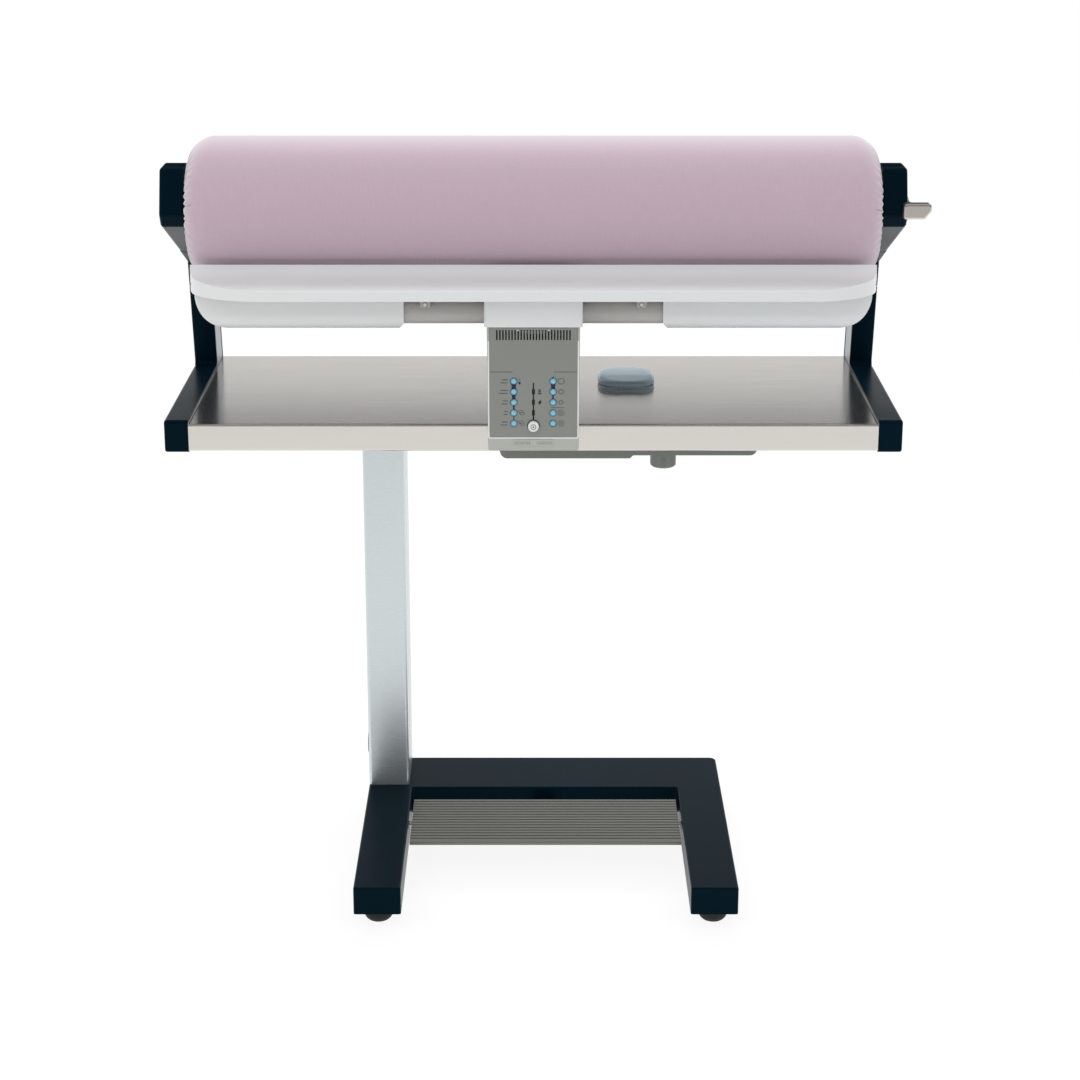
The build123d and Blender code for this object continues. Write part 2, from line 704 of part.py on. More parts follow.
def table_posts():
    """Two posts that stand on the cross tube and hold the table."""
    y, z, r = cross_tube_y, cross_tube_z, cross_tube_radius
    low, high = z + 7.5, table_rear_z - 16.5
    blank = rounded([(y - r - 2.5, low), (y, low), (y, z - 2), (y + r + 5, z - 2), (y + r + 5, z + 20),
                     (table_rear_y - 2, high), (y - r - 2.5, high)], [1, 0, 0, 1, 3, 1, 1])
    blank -= Pos(y, z) * Circle(r - 0.5)
    blank -= Pos(roller_axis_y, shoe_axis_z) * Circle(shield_outer + 0.3)
    return [across(blank, x - 6, x + 6) for x in (-table_post_x, table_post_x)]


def cover_outline(inset):
    """Side view of a lower cover: upright front, flat underside, raised rear."""
    r = 21.0 - inset
    return rounded(
        [(cover_front_y + inset, cover_top_z), (cover_front_y + inset, cover_bottom_z + inset),
         (cover_rear_y - 47 - inset * 0.3, cover_bottom_z + inset),
         (cover_rear_y - inset, cover_bottom_z + 32 + inset * 0.6), (cover_rear_y - inset, cover_top_z)],
        [0, r, 30, 6, 0],
    )


def cover_front(inset):
    """Front view of the right lower cover: rounded outer end, chamfered inner end."""
    low, high = cover_bottom_z + inset - 0.05, cover_top_z + 12
    return rounded(
        [(cover_inner_x + inset, high), (cover_inner_x + inset, low + 9), (cover_inner_x + inset + 7, low),
         (cover_half - inset, low), (cover_half - inset, high)],
        [0, 2, 3, cover_end_round - inset, 0],
    )


def lower_cover():
    """White moulded cover under the trough, closed at both ends, open above."""
    front, rear = cover_front_y - 29, cover_rear_y + 35
    solid = across(cover_outline(0), cover_inner_x, cover_half) & rearwards(cover_front(0), front, rear)
    hollow = across(cover_outline(cover_wall), cover_inner_x, cover_half) & rearwards(
        cover_front(cover_wall), front, rear)
    mouth = box_between(cover_inner_x + cover_wall, cover_half - cover_wall, cover_front_y + cover_wall,
                        cover_rear_y - cover_wall, cover_top_z - 2, cover_top_z + 1)
    body = solid - hollow - mouth
    # Everything above the trough's flanks is open: the roller dips into it.
    opening = Pos(roller_axis_y, shoe_axis_z) * Circle(shield_outer + 1)
    body -= across(opening, cover_inner_x - 1, cover_half + 1)
    tube = rod_x(cross_tube_y, cross_tube_z, cross_tube_radius + 0.5, cover_inner_x - 1, cover_inner_x + 9)
    return body - tube


def centre_cover():
    """White cover in the middle that slides down over the top of the console."""
    half = console_half + slide_gap + 2.5
    front = console_front_y - slide_gap - 2.5
    rear = cross_tube_y - cross_tube_radius - 0.7
    outer = rounded([(-half, front), (half, front), (half, rear), (-half, rear)], [4, 4, 0, 0])
    back = rear + 16.2
    inner = rounded([(-half + 2.5, front + 2.5), (half - 2.5, front + 2.5),
                     (half - 2.5, back), (-half + 2.5, back)], [2, 2, 0, 0])
    low, high = console_top_z - 18, cover_top_z + 2.5
    return upwards(outer, low, high) - upwards(inner, low - 4, high - 2.5)


def lift_bracket():
    """Actuator's rod with the plate that it pushes under the cross tube."""
    low = cross_tube_z - cross_tube_radius - 4.1
    plate = box_between(-18, 18, actuator_y - 11, cross_tube_y + 14, low, low + 4)
    plate = fillet(plate.edges().filter_by(Axis.Z), 5)
    cheeks = [box_between(x - 2, x + 2, cross_tube_y - 14, cross_tube_y + 14, low + 4, cross_tube_z - 7)
              for x in (-15, 15)]
    rod = rod_z(0, actuator_y, actuator_rod_radius, actuator_stop_z, low + 1.6)
    plate = plate + cheeks + rod
    return plate - rod_x(cross_tube_y, cross_tube_z, cross_tube_radius + 0.05, -30, 30)


# ================================================================ console
def console_outline(inset, low, high):
    """Front view of the console, slightly narrower at the bottom."""
    return rounded([(-console_half_low + inset, low), (console_half_low - inset, low),
                    (console_half - inset, high), (-console_half + inset, high)], [3, 3, 0, 0])


def console_housing():
    """Grey moulded housing, open at the front for the fascia and at the top behind."""
    y0, y1 = console_front_y, console_rear_y
    body = rearwards(console_outline(0, console_bottom_z, console_top_z), y0, y1)
    front = body.faces().sort_by(Axis.Y)[0]
    body = fillet(front.edges().filter_by(Axis.X, reverse=True), 1.5)
    step_y = cross_tube_y - cross_tube_radius - 1.2
    x = console_half + 4
    body -= box_between(-x, x, step_y, y1 + 1, console_step_z, console_top_z + 1)
    body -= rearwards(
        console_outline(console_wall, console_bottom_z + console_wall, console_step_z - console_wall),
        y0 + fascia_thick + 0.5, y1 - console_wall)
    body -= rearwards(console_outline(console_wall, console_step_z - console_wall - 1, console_top_z + 1),
                      y0 + fascia_thick + 0.5, step_y - console_wall)
    body -= box_between(-20, 20, step_y - console_wall - 1, step_y + 1, console_step_z + 1, console_top_z + 1)
    window = rounded([(-fascia_half - 0.3, fascia_bottom_z - 0.3), (fascia_half + 0.3, fascia_bottom_z - 0.3),
                      (fascia_half + 0.3, fascia_top_z + 0.3), (-fascia_half - 0.3, fascia_top_z + 0.3)],
                     [2, 2, 2, 2])
    body -= rearwards(window, y0 - 1, y0 + 10)
    ledge = box_between(-24, 24, y0 - 0.8, y0 + 1, console_bottom_z + 6, console_bottom_z + 14)
    body += fillet(ledge.edges().filter_by(Axis.Y), 1)
    for i in range(-9, 10):
        if abs(i) > 1:
            body -= box_between(i * 2.4 - 0.5, i * 2.4 + 0.5, y0 - 2, y0 + 0.2,
                                console_bottom_z + 8, console_bottom_z + 12)
    return body


def button_place(column, row):
    return column * button_column_x, button_top_z - row * button_pitch


def fascia():
    """Grey front panel with its row of vents, ten button holes and the slider's slot."""
    y0 = console_front_y - 0.2
    panel = rounded([(-fascia_half, fascia_bottom_z), (fascia_half, fascia_bottom_z),
                     (fascia_half, fascia_top_z), (-fascia_half, fascia_top_z)], [1.7, 1.7, 1.7, 1.7])
    for i in range(vent_count):
        x = (i - (vent_count - 1) / 2) * vent_pitch
        panel -= Pos(x, (vent_low_z + vent_high_z) / 2) * Rectangle(vent_width, vent_high_z - vent_low_z)
    for column in (-1, 1):
        for row in range(button_rows):
            panel -= Pos(*button_place(column, row)) * Circle(button_radius + 0.35)
    slot_z = slider_rest_z + slider_travel / 2
    panel -= Pos(0, slot_z) * RectangleRounded(slot_width, slider_travel + 8, slot_width / 2 - 0.01)
    return rearwards(panel, y0, y0 + fascia_thick)


def push_button(column, row):
    """Round button with a flange behind the panel."""
    x, z = button_place(column, row)
    y = console_front_y - 1.4
    cap = rod_y(x, z, button_radius, y, console_front_y + fascia_thick + 1.2)
    cap = chamfer(cap.edges().group_by(Axis.Y)[0], 0.7)
    return cap + rod_y(x, z, button_radius + 1.2, console_front_y + fascia_thick + 0.3,
                       console_front_y + fascia_thick + 1.2)


def slider_knob():
    """Round knob of the temperature slider with its neck through the slot."""
    y = console_front_y - 0.2
    knob = rod_y(0, slider_rest_z, slider_radius, y - 6.2, y - 0.6)
    knob = chamfer(knob.edges().group_by(Axis.Y)[0], 1.2)
    ring = rod_y(0, slider_rest_z, 4.3, y - 7, y - 5.6) - rod_y(0, slider_rest_z, 3.3, y - 7, y - 5.6)
    neck = box_between(-0.5, 0.5, y - 1, console_front_y + 5.6, slider_rest_z - 2.5, slider_rest_z + 2.5)
    return knob - ring + neck


def control_board():
    """Circuit board with the switches behind the buttons and the slider's track."""
    y0 = console_front_y + 7.4
    board = box_between(-49, 49, y0, y0 + 1.6, fascia_bottom_z + 6, console_step_z - 6)
    for column in (-1, 1):
        for row in range(button_rows):
            x, z = button_place(column, row)
            board += box_between(x - 3, x + 3, y0 - 2.4, y0 + 0.5, z - 3, z + 3)
    track = box_between(-4, 4, y0 - 1.2, y0 + 0.5, slider_rest_z - 8, slider_rest_z + slider_travel + 8)
    return board + track


def lift_actuator():
    """Linear actuator that stands in the console and raises the shoe."""
    z, neck_z = actuator_foot_z, console_step_z - 36
    body = rod_z(0, actuator_y, 14, z + 18, neck_z) + rod_z(0, actuator_y, 10, neck_z, neck_z + 26)
    body += box_between(-24, 24, actuator_y - 12, actuator_y + 12, z, z + 18)
    body += box_between(-6, 6, actuator_y - 6, actuator_y + 6, console_bottom_z + console_wall + 0.2, z + 1)
    return body - rod_z(0, actuator_y, actuator_rod_radius + running_gap, actuator_stop_z, neck_z + 28)


# ================================================================ shelf and steam unit
def shelf_tray():
    """Brushed stainless shelf: one sheet, folded down at front and rear, a shallow seam behind the fold."""
    inner = sheet_thick
    low = shelf_flange_z - 25
    outer_line = rounded([(0, shelf_flange_z), (14, shelf_flange_z), (14, low), (shelf_rear_y, low),
                          (shelf_rear_y, shelf_top_z), (0, shelf_top_z)], [2.2, 0, 0, 0, 2.5, 2.2])
    inner_line = rounded([(inner, shelf_flange_z + inner), (15, shelf_flange_z + inner), (15, low - 10),
                          (shelf_rear_y - inner, low - 10), (shelf_rear_y - inner, shelf_top_z - inner),
                          (inner, shelf_top_z - inner)], [1, 0, 0, 0, 1.3, 1])
    tray = across(outer_line, -shelf_half, shelf_half) - across(inner_line, -shelf_half - 1, shelf_half + 1)
    x = shelf_half + 20
    tray -= box_between(-x, x, 14, shelf_rear_y + 20, shelf_flange_z - 45, rear_flange_z)
    tray -= box_between(-x, x, seam_y, seam_y + seam_width, shelf_top_z - seam_depth, shelf_top_z + 1)
    hole = rounded_rect(neck_x0 - 1, neck_x1 + 1, neck_y0 - 1, neck_y1 + 1, 13)
    return tray - upwards(hole, shelf_top_z - 19, shelf_top_z + 21)


def cross_beam():
    """Box-section beam under the shelf from arm to arm, carried by the column."""
    x = frame_inner_x + 0.4
    tube = rounded([(246, beam_low_z), (331, beam_low_z), (331, beam_high_z), (246, beam_high_z)], [3, 3, 3, 3])
    bore = rounded([(248.5, beam_low_z + 2.5), (328.5, beam_low_z + 2.5), (328.5, beam_high_z - 2.5),
                    (248.5, beam_high_z - 2.5)], [1, 1, 1, 1])
    return across(tube - bore, -x, x)


def lid_plan(inset):
    """Plan of the tank lid: a rectangle with wide bevelled corners."""
    x0, x1, y0, y1 = lid_x0 + inset, lid_x1 - inset, lid_y0 + inset, lid_y1 - inset
    c = lid_corner - inset * 0.6
    return rounded([(x0 + c, y0), (x1 - c, y0), (x1, y0 + c), (x1, y1 - c), (x1 - c, y1), (x0 + c, y1),
                    (x0, y1 - c), (x0, y0 + c)], [6] * 8)


def tank_lid():
    """Hinged lid of the water tank, domed, with a sunk top and two lugs for its pin."""
    z0 = shelf_top_z + flange_thick + 0.3
    z1 = z0 + lid_height
    levels = ((z0, 0), (z1 - 2.2, 2.1), (z1 - 0.7, 3.0), (z1, 4.6))
    body = loft([Plane.XY.offset(z) * lid_plan(inset) for z, inset in levels], ruled=True)
    body -= loft([Plane.XY.offset(z0 - 0.1) * lid_plan(lid_wall),
                  Plane.XY.offset(z1 - lid_wall) * lid_plan(lid_wall + 2.5)], ruled=True)
    body -= upwards(lid_plan(9), z1 - 0.9, z1 + 1)
    for x in (103, 140):
        lug = rounded([(lid_y1 - 2.4, z0), (lid_pivot_y, z0), (lid_pivot_y + 3, lid_pivot_z),
                       (lid_pivot_y, lid_pivot_z + 3), (lid_y1 - 3, z0 + 9)], [0, 1, 2.5, 2.5, 0])
        body += across(lug, x - 3, x + 3)
    return body - rod_x(lid_pivot_y, lid_pivot_z, lid_pin_radius + running_gap, 90, 153)


def filler_collar():
    """Collar in the shelf with the filler neck and the ears of the lid's hinge."""
    z0 = shelf_top_z
    flange_plan = rounded_rect(lid_x0 + 2, lid_x1 - 2, lid_y0 + 2, lid_pivot_y + 4, 14)
    flange = upwards(flange_plan, z0, z0 + flange_thick)
    neck = upwards(rounded_rect(neck_x0, neck_x1, neck_y0, neck_y1, 12), 644, z0 + 8)
    collar = flange + neck
    for x in (97, 146):
        ear = rounded([(lid_pivot_y - 3.2, z0), (lid_pivot_y + 3.2, z0), (lid_pivot_y + 3, lid_pivot_z + 3),
                       (lid_pivot_y - 3, lid_pivot_z + 3)], [0, 0, 2.5, 2.5])
        collar += across(ear, x - 2.5, x + 2.5)
    collar -= upwards(rounded_rect(neck_x0 + 2, neck_x1 - 2, neck_y0 + 2, neck_y1 - 2, 10), 640, z0 + 12)
    return collar - rod_x(lid_pivot_y, lid_pivot_z, lid_pin_radius + 0.05, 90, 153)


def lid_pin():
    return rod_x(lid_pivot_y, lid_pivot_z, lid_pin_radius, 94.5, 148.5)


def unit_cover():
    """Grey moulded cover below the shelf, deeper at its left half."""
    top = shelf_top_z - sheet_thick - 0.2
    outline = rounded([(unit_x0, unit_low_z), (unit_step_x - 4, unit_low_z), (unit_step_x, unit_high_z),
                       (unit_x1, unit_high_z), (unit_x1, top), (unit_x0, top)], [9, 1.5, 1.5, 9, 0, 0])
    w = unit_wall
    inner = rounded([(unit_x0 + w, unit_low_z + w), (unit_step_x - 4 - w, unit_low_z + w),
                     (unit_step_x - w, unit_high_z + w), (unit_x1 - w, unit_high_z + w), (unit_x1 - w, top + 1),
                     (unit_x0 + w, top + 1)], [6.5, 1, 1, 6.5, 0, 0])
    plan = rounded_rect(unit_x0, unit_x1, unit_y0, unit_y1, 12)
    plan_in = rounded_rect(unit_x0 + w, unit_x1 - w, unit_y0 + w, unit_y1 - w, 9.5)
    low = unit_low_z - 17
    body = rearwards(outline, unit_y0, unit_y1) & upwards(plan, low, top + 22)
    body -= rearwards(inner, unit_y0, unit_y1) & upwards(plan_in, low, top + 22)
    for i in range(6):
        x = -20 + i * 14
        body -= box_between(x - 1.5, x + 1.5, 110, 160, unit_low_z - 1, unit_low_z + w + 1)
    return body - rod_z(drain_x, drain_y, 6, 590, 610)


def water_tank():
    """Moulded tank under the shelf with the hole of the filler neck and the drain boss."""
    outer = rounded_rect(84, 277, unit_y0 + 6, unit_y1 - 6, 10)
    inner = rounded_rect(86.5, 274.5, unit_y0 + 8.5, unit_y1 - 8.5, 7.5)
    body = upwards(outer, 609, 653) - upwards(inner, 611.5, 650.5)
    body -= upwards(rounded_rect(neck_x0 - 0.5, neck_x1 + 0.5, neck_y0 - 0.5, neck_y1 + 0.5, 12.5), 645, 660)
    body += rod_z(drain_x, drain_y, 9, 606.5, 612)
    return body - rod_z(drain_x, drain_y, 3, 605, 613)


def water_pump():
    """Small pump beside the tank."""
    body = rod_y(56, 625, 16, 90, 150) + box_between(42, 70, 150, 176, unit_low_z + unit_wall, 640)
    return body + rod_z(56, 163, 3.5, 640, 650)


def steam_generator():
    """Cast aluminium block with a tubular element."""
    body = rounded_rect(-34, 28, 80, 220, 14)
    block = upwards(body, 606, 642)
    for i in range(4):
        block -= box_between(-40, 34, 102 + i * 26, 108 + i * 26, 634, 643)
    for x, y in ((-24, 90), (18, 90), (-24, 210), (18, 210)):
        block += rod_z(x, y, 4, unit_low_z + unit_wall, 607)
    return block + rod_z(-3, 95, 6, 642, 650)


def drain_knob():
    """Fluted quarter-turn knob of the drain valve."""
    top = unit_high_z - 0.8
    knob = rod_z(drain_x, drain_y, drain_radius, drain_low_z, top)
    knob = chamfer(knob.edges().group_by(Axis.Z)[0], 2)
    for i in range(8):
        a = radians(45 * i)
        knob -= rod_z(drain_x + (drain_radius + 2.2) * cos(a), drain_y + (drain_radius + 2.2) * sin(a), 4,
                      drain_low_z - 1, top - 3)
    return knob + rod_z(drain_x, drain_y, 5, top, 606)


# ================================================================ assembly
def build():
    parts = {
        "base_frame": base_frame(),
        "rubber_glides": rubber_glides(),
        "column_post": column_post(),
        "column_front_cover": column_front_cover(),
        "column_rear_cover": column_rear_cover(),
        "cable_gland": cable_gland(),
        "pedal_plate": pedal_plate(),
        "pedal_pins": pedal_pins(),
        "pedal_torsion_bar": pedal_torsion_bar(),
        "pedal_switch": pedal_switch(),
        "cross_beam": cross_beam(),
        "shelf_tray": shelf_tray(),
        "frame_screws": frame_screws(),
        "release_lever": release_lever(),
        "roller_tube": roller_tube(),
        "roller_padding": roller_padding(),
        "roller_cover": roller_cover(),
        "drive_motor": drive_motor(),
        "drive_disc": drive_disc(),
        "heated_trough": heated_trough(),
        "heating_elements": heating_elements(),
        "trough_shield": trough_shield(),
        "shoe_carrier": shoe_carrier(),
        "feed_table": feed_table(),
        "shoe_screws": shoe_screws(),
        "centre_cover": centre_cover(),
        "lift_bracket": lift_bracket(),
        "lift_actuator": lift_actuator(),
        "console_housing": console_housing(),
        "console_fascia": fascia(),
        "control_board": control_board(),
        "slider_knob": slider_knob(),
        "tank_lid": tank_lid(),
        "filler_collar": filler_collar(),
        "lid_hinge_pin": lid_pin(),
        "steam_unit_cover": unit_cover(),
        "water_tank": water_tank(),
        "water_pump": water_pump(),
        "steam_generator": steam_generator(),
        "drain_knob": drain_knob(),
    }
    for name, shape in (("side_frame", side_frame()), ("lower_cover", lower_cover())):
        parts[name + "_right"] = shape
        parts[name + "_left"] = flipped(shape)
    for name, shape in (("inner_plates", inner_plate()), ("end_discs", end_disc()), ("axle_bushes", bush())):
        parts[name] = Part() + [shape, flipped(shape)]
    cover = head_cover()
    parts["head_cover_left"] = flipped(cover)
    parts["head_cover_right"] = cover - rod_x(roller_axis_y, roller_axis_z, lever_pin_radius + 1,
                                              frame_outer_x - 16, frame_outer_x + 14)
    parts["stub_axles"] = Part() + [flipped(axle(True)), axle(False)]
    for column, side in ((-1, "left"), (1, "right")):
        for row in range(button_rows):
            parts[f"button_{side}_{row + 1}"] = push_button(column, row)
    return parts


def main():
    os.makedirs("parts", exist_ok=True)
    for name, shape in build().items():
        export_step(Pos(-origin_x, -origin_y, 0) * shape, f"parts/{name}.step")
        print(name, round(shape.volume))


main()
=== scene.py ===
# %% [markdown]
# # A compact flatwork ironer
#
# The machine presses linen between a padded roller and a heated trough. The engineering model gives the
# frame, the covers, the shelf and every joint. This lesson dresses that model: it gives each piece the
# finish it has on the real machine, sews the roller's cotton cover, prints the console and sets up a
# plain studio.

# %% Load the engineering model
import json
import math
import random

import bmesh
import bpy
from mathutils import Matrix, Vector


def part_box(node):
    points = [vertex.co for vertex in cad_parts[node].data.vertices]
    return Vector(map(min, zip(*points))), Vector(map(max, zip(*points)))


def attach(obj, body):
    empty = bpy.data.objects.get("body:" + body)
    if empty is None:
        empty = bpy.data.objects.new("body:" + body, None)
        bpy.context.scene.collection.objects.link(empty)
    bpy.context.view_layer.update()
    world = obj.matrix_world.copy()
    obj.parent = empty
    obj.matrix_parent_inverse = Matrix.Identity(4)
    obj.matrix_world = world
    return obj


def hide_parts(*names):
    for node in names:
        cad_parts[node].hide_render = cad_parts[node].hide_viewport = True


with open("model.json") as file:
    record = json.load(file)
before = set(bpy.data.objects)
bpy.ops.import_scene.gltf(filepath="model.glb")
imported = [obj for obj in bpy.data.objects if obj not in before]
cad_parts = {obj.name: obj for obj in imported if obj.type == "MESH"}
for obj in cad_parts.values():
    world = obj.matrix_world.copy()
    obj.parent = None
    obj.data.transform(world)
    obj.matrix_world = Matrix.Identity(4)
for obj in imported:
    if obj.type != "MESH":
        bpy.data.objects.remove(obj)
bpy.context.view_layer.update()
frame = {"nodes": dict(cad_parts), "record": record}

nodes = frame["nodes"]
print("pieces from the engineering model:", len(nodes))

# %% [markdown]
# ## Measures
#
# The model's origin is the middle of the machine's outline. The drawing of the machine counts X from the
# middle of the roller and Y from the shelf's front edge, so one helper turns drawing millimetres into
# model metres. With it each size can be read straight from the drawing.

# %% From drawing millimetres to model metres
ORIGIN_X, ORIGIN_Y = 13.0, 130.5


def at(x, y, z):
    """Drawing millimetres to model metres."""
    return Vector(((x - ORIGIN_X) / 1000, (y - ORIGIN_Y) / 1000, z / 1000))


MM = 0.001
print("roller axis at", tuple(round(v, 4) for v in at(0, 90, 911.5)))

# %% [markdown]
# ## Colour and node helpers
#
# Paint and plastic are matched as sRGB hex values, the way a colour picker shows them. A renderer
# works with linear light, so one function turns hex to linear. A second small function adds a shader
# node with its settings and its links in a single line, and a few more cover the steps that every material
# repeats: blend two colours, spread a texture over a range, make relief from it, link the result. The last
# one turns a mesh into an object of the scene.

# %% Hex to linear colour
def linear(code):
    """sRGB hex such as #C0FFEE to a linear RGBA tuple."""
    parts = [int(code[i:i + 2], 16) / 255 for i in (1, 3, 5)]
    return tuple(p / 12.92 if p <= 0.04045 else ((p + 0.055) / 1.055) ** 2.4 for p in parts) + (1.0,)


# %% One function for any node
def put(tree, kind, inputs=None, **settings):
    """Add a shader node, set its own settings, then fill or link its inputs."""
    node = tree.nodes.new("ShaderNode" + kind)
    for name, value in settings.items():
        setattr(node, name, value)
    for key, value in (inputs or {}).items():
        if isinstance(value, bpy.types.NodeSocket):
            tree.links.new(value, node.inputs[key])
        else:
            node.inputs[key].default_value = value
    return node


def new_material(name, **shader_values):
    """An empty material with one Principled shader, whose uniform values are set on its own sockets."""
    material = bpy.data.materials.new(name)
    material.use_nodes = True
    tree = material.node_tree
    tree.nodes.clear()
    shader = put(tree, "BsdfPrincipled")
    for key, value in shader_values.items():
        shader.inputs[key.replace("_", " ")].default_value = value
    put(tree, "OutputMaterial", {"Surface": shader.outputs[0]})
    return material, tree, shader


def per_mm(spacing):
    """Texture scale that repeats about once in so many millimetres."""
    return 1000.0 / spacing


MIX_A, MIX_B, MIX_COLOUR = 6, 7, 2  # sockets of a Mix node that blends colours


def blend(tree, share, first, second):
    """Mix two colours by a texture. Each is a hex value or the colour of another mix."""
    first, second = (linear(c) if isinstance(c, str) else c for c in (first, second))
    return put(tree, "Mix", {0: share.outputs[0], MIX_A: first, MIX_B: second},
               data_type="RGBA").outputs[MIX_COLOUR]


def spread(tree, texture, low, high, start=0.3, end=0.7):
    """Stretch the middle of a texture's values over the range from low to high."""
    return put(tree, "MapRange", {0: texture.outputs[0], 1: start, 2: end, 3: low, 4: high})


def relief(tree, texture, strength, distance=0.0003):
    """Bump from a texture, with its depth in metres."""
    return put(tree, "Bump", {"Height": texture.outputs[0], "Strength": strength, "Distance": distance})


def finish(tree, shader, colour, gloss=None, bump=None):
    """Link colour, roughness and relief to the shader."""
    tree.links.new(colour, shader.inputs["Base Color"])
    if gloss:
        tree.links.new(gloss.outputs[0], shader.inputs["Roughness"])
    if bump:
        tree.links.new(bump.outputs[0], shader.inputs["Normal"])


# %% One function for any mesh
def to_object(mesh, name, material):
    """Turn a finished bmesh into an object of the scene, with its normals facing out."""
    bmesh.ops.recalc_face_normals(mesh, faces=mesh.faces)
    data = bpy.data.meshes.new(name)
    mesh.to_mesh(data)
    mesh.free()
    piece = bpy.data.objects.new(name, data)
    bpy.context.scene.collection.objects.link(piece)
    data.materials.append(material)
    return piece


# %% [markdown]
# ## Powder-coated steel and cast aluminium
#
# The arms, heads and base are powder coated in a blue so dark that it reads as black until a lamp catches
# an edge. Powder coat melts into a skin with a faint orange peel, a ripple about 1 to 2 mm across. It could
# be modelled as a displaced surface, but the ripple is only microns high, so a soft noise on the bump and
# a little variation of the roughness give the same broken highlight. Handling leaves the skin slightly
# smoother in patches, which a second, much larger noise adds. The blue pigment tints the sheen a little.

# %% Powder coat, blue black
PEEL_MM, HANDLING_MM = 1.6, 120
powder_coat, tree, shader = new_material("powder coat blue black", IOR=1.5, Specular_IOR_Level=0.07,
                                        Specular_Tint=linear("#9CC4D4"))
where = put(tree, "TexCoord").outputs["Object"]
peel = put(tree, "TexNoise", {"Vector": where, "Scale": per_mm(PEEL_MM), "Detail": 0.0})
patches = put(tree, "TexNoise", {"Vector": where, "Scale": per_mm(HANDLING_MM), "Detail": 1.0})
tone = blend(tree, patches, "#02121B", "#051B27")
gloss = spread(tree, patches, 0.26, 0.34, 0.2, 0.8)
bump = relief(tree, peel, 0.03)
finish(tree, shader, tone, gloss, bump)
print("made:", powder_coat.name)

# %% [markdown]
# ## Brushed stainless shelf
#
# The shelf is one sheet of stainless steel, brushed along its length with abrasive belts. Each scratch is
# a few hundredths of a millimetre wide and tens of millimetres long. Drawn at their true width the
# scratches would vanish between the pixels, so they are drawn about 0.7 mm apart. A noise stretched along
# X makes them: the same texture drives the roughness, the colour and a small bump, so that a scratch
# reads as one thing. A wide, faint cloud stands for the uneven sheen of rolled sheet. Brushed metal also
# smears a reflection across its scratches, so the shader is anisotropic. Its tangent points across the
# scratches on the top and on the folded front alike.

# %% Stainless steel, belt-brushed along X
SCRATCH_MM, SCRATCH_LENGTH_MM, CLOUD_MM = 0.7, 90, 160
brushed_stainless, tree, shader = new_material("belt-brushed stainless steel", Metallic=1.0,
                                              Anisotropic=0.6)
where = put(tree, "TexCoord").outputs["Object"]
stretched = put(tree, "Mapping", {"Vector": where, "Scale": (
    per_mm(SCRATCH_LENGTH_MM), per_mm(SCRATCH_MM), per_mm(SCRATCH_MM))})
scratches = put(tree, "TexNoise", {"Vector": stretched.outputs[0], "Scale": 1.0, "Detail": 3.0,
                                   "Roughness": 0.7})
cloud = put(tree, "TexNoise", {"Vector": where, "Scale": per_mm(CLOUD_MM), "Detail": 2.0})
tone = blend(tree, scratches, "#D0CBC5", "#EBE7E2")
sheen = blend(tree, cloud, tone, "#E0DBD5")
gloss = spread(tree, scratches, 0.19, 0.27)
bump = relief(tree, scratches, 0.06, 0.0002)
across = put(tree, "CombineXYZ", {0: 0.0, 1: 1.0, 2: 1.0})
tree.links.new(across.outputs[0], shader.inputs["Tangent"])
finish(tree, shader, sheen, gloss, bump)
print("made:", brushed_stainless.name)

# %% [markdown]
# ## Silver anodised column covers
#
# The two column covers are aluminium sheet, lightly brushed across and anodised clear. The oxide skin
# scatters a little light, so the metal looks silvery and soft, and still mirrors the dark base near its
# foot. A noise stretched along X stands for the brushing, drawn at half a millimetre.

# %% Clear anodised aluminium
BRUSH_MM, BRUSH_LENGTH_MM, BRUSH_DEPTH_MM = 0.5, 25, 5
silver_anodised, tree, shader = new_material("clear anodised aluminium", Metallic=0.8)
where = put(tree, "TexCoord").outputs["Object"]
drawn = put(tree, "Mapping", {"Vector": where, "Scale": (
    per_mm(BRUSH_LENGTH_MM), per_mm(BRUSH_DEPTH_MM), per_mm(BRUSH_MM))})
brushing = put(tree, "TexNoise", {"Vector": drawn.outputs[0], "Scale": 1.0, "Detail": 2.0})
tone = blend(tree, brushing, "#D0D8DB", "#DFE5E7")
gloss = spread(tree, brushing, 0.27, 0.33)
finish(tree, shader, tone, gloss)
print("made:", silver_anodised.name)

# %% [markdown]
# ## Glossy white ABS
#
# The feed table and the covers below it are injection moulded in white ABS. A polished mould gives a
# mirror-like skin, but thick mouldings sink a little as they cool, so reflections bend gently. A broad,
# weak bump gives that wobble. The colour stays plain: new ABS has no pattern, only a very slight
# yellowing that differs from place to place.

# %% ABS, polished white
SINK_MM, AGEING_MM = 60, 220
white_abs, tree, shader = new_material("polished white ABS", IOR=1.54, Coat_Weight=0.25,
                                       Coat_Roughness=0.06)
where = put(tree, "TexCoord").outputs["Object"]
sink = put(tree, "TexNoise", {"Vector": where, "Scale": per_mm(SINK_MM), "Detail": 1.0})
ageing = put(tree, "TexNoise", {"Vector": where, "Scale": per_mm(AGEING_MM), "Detail": 2.0})
tone = blend(tree, ageing, "#E3E6E7", "#E9EAE8")
gloss = spread(tree, ageing, 0.16, 0.24)
bump = relief(tree, sink, 0.05, 0.002)
finish(tree, shader, tone, gloss, bump)
print("made:", white_abs.name)

# %% [markdown]
# ## Textured ABS and printed film of the console
#
# The console's housing is a lighter grey ABS from a spark-eroded mould, which leaves a dull grain of
# about 0.4 mm. The fascia is a grey moulding with a satin film printed from behind. Both could share one
# material, but the housing scatters light from its grain while the film keeps a soft, even sheen, so each
# gets its own, made by the same steps with other numbers.

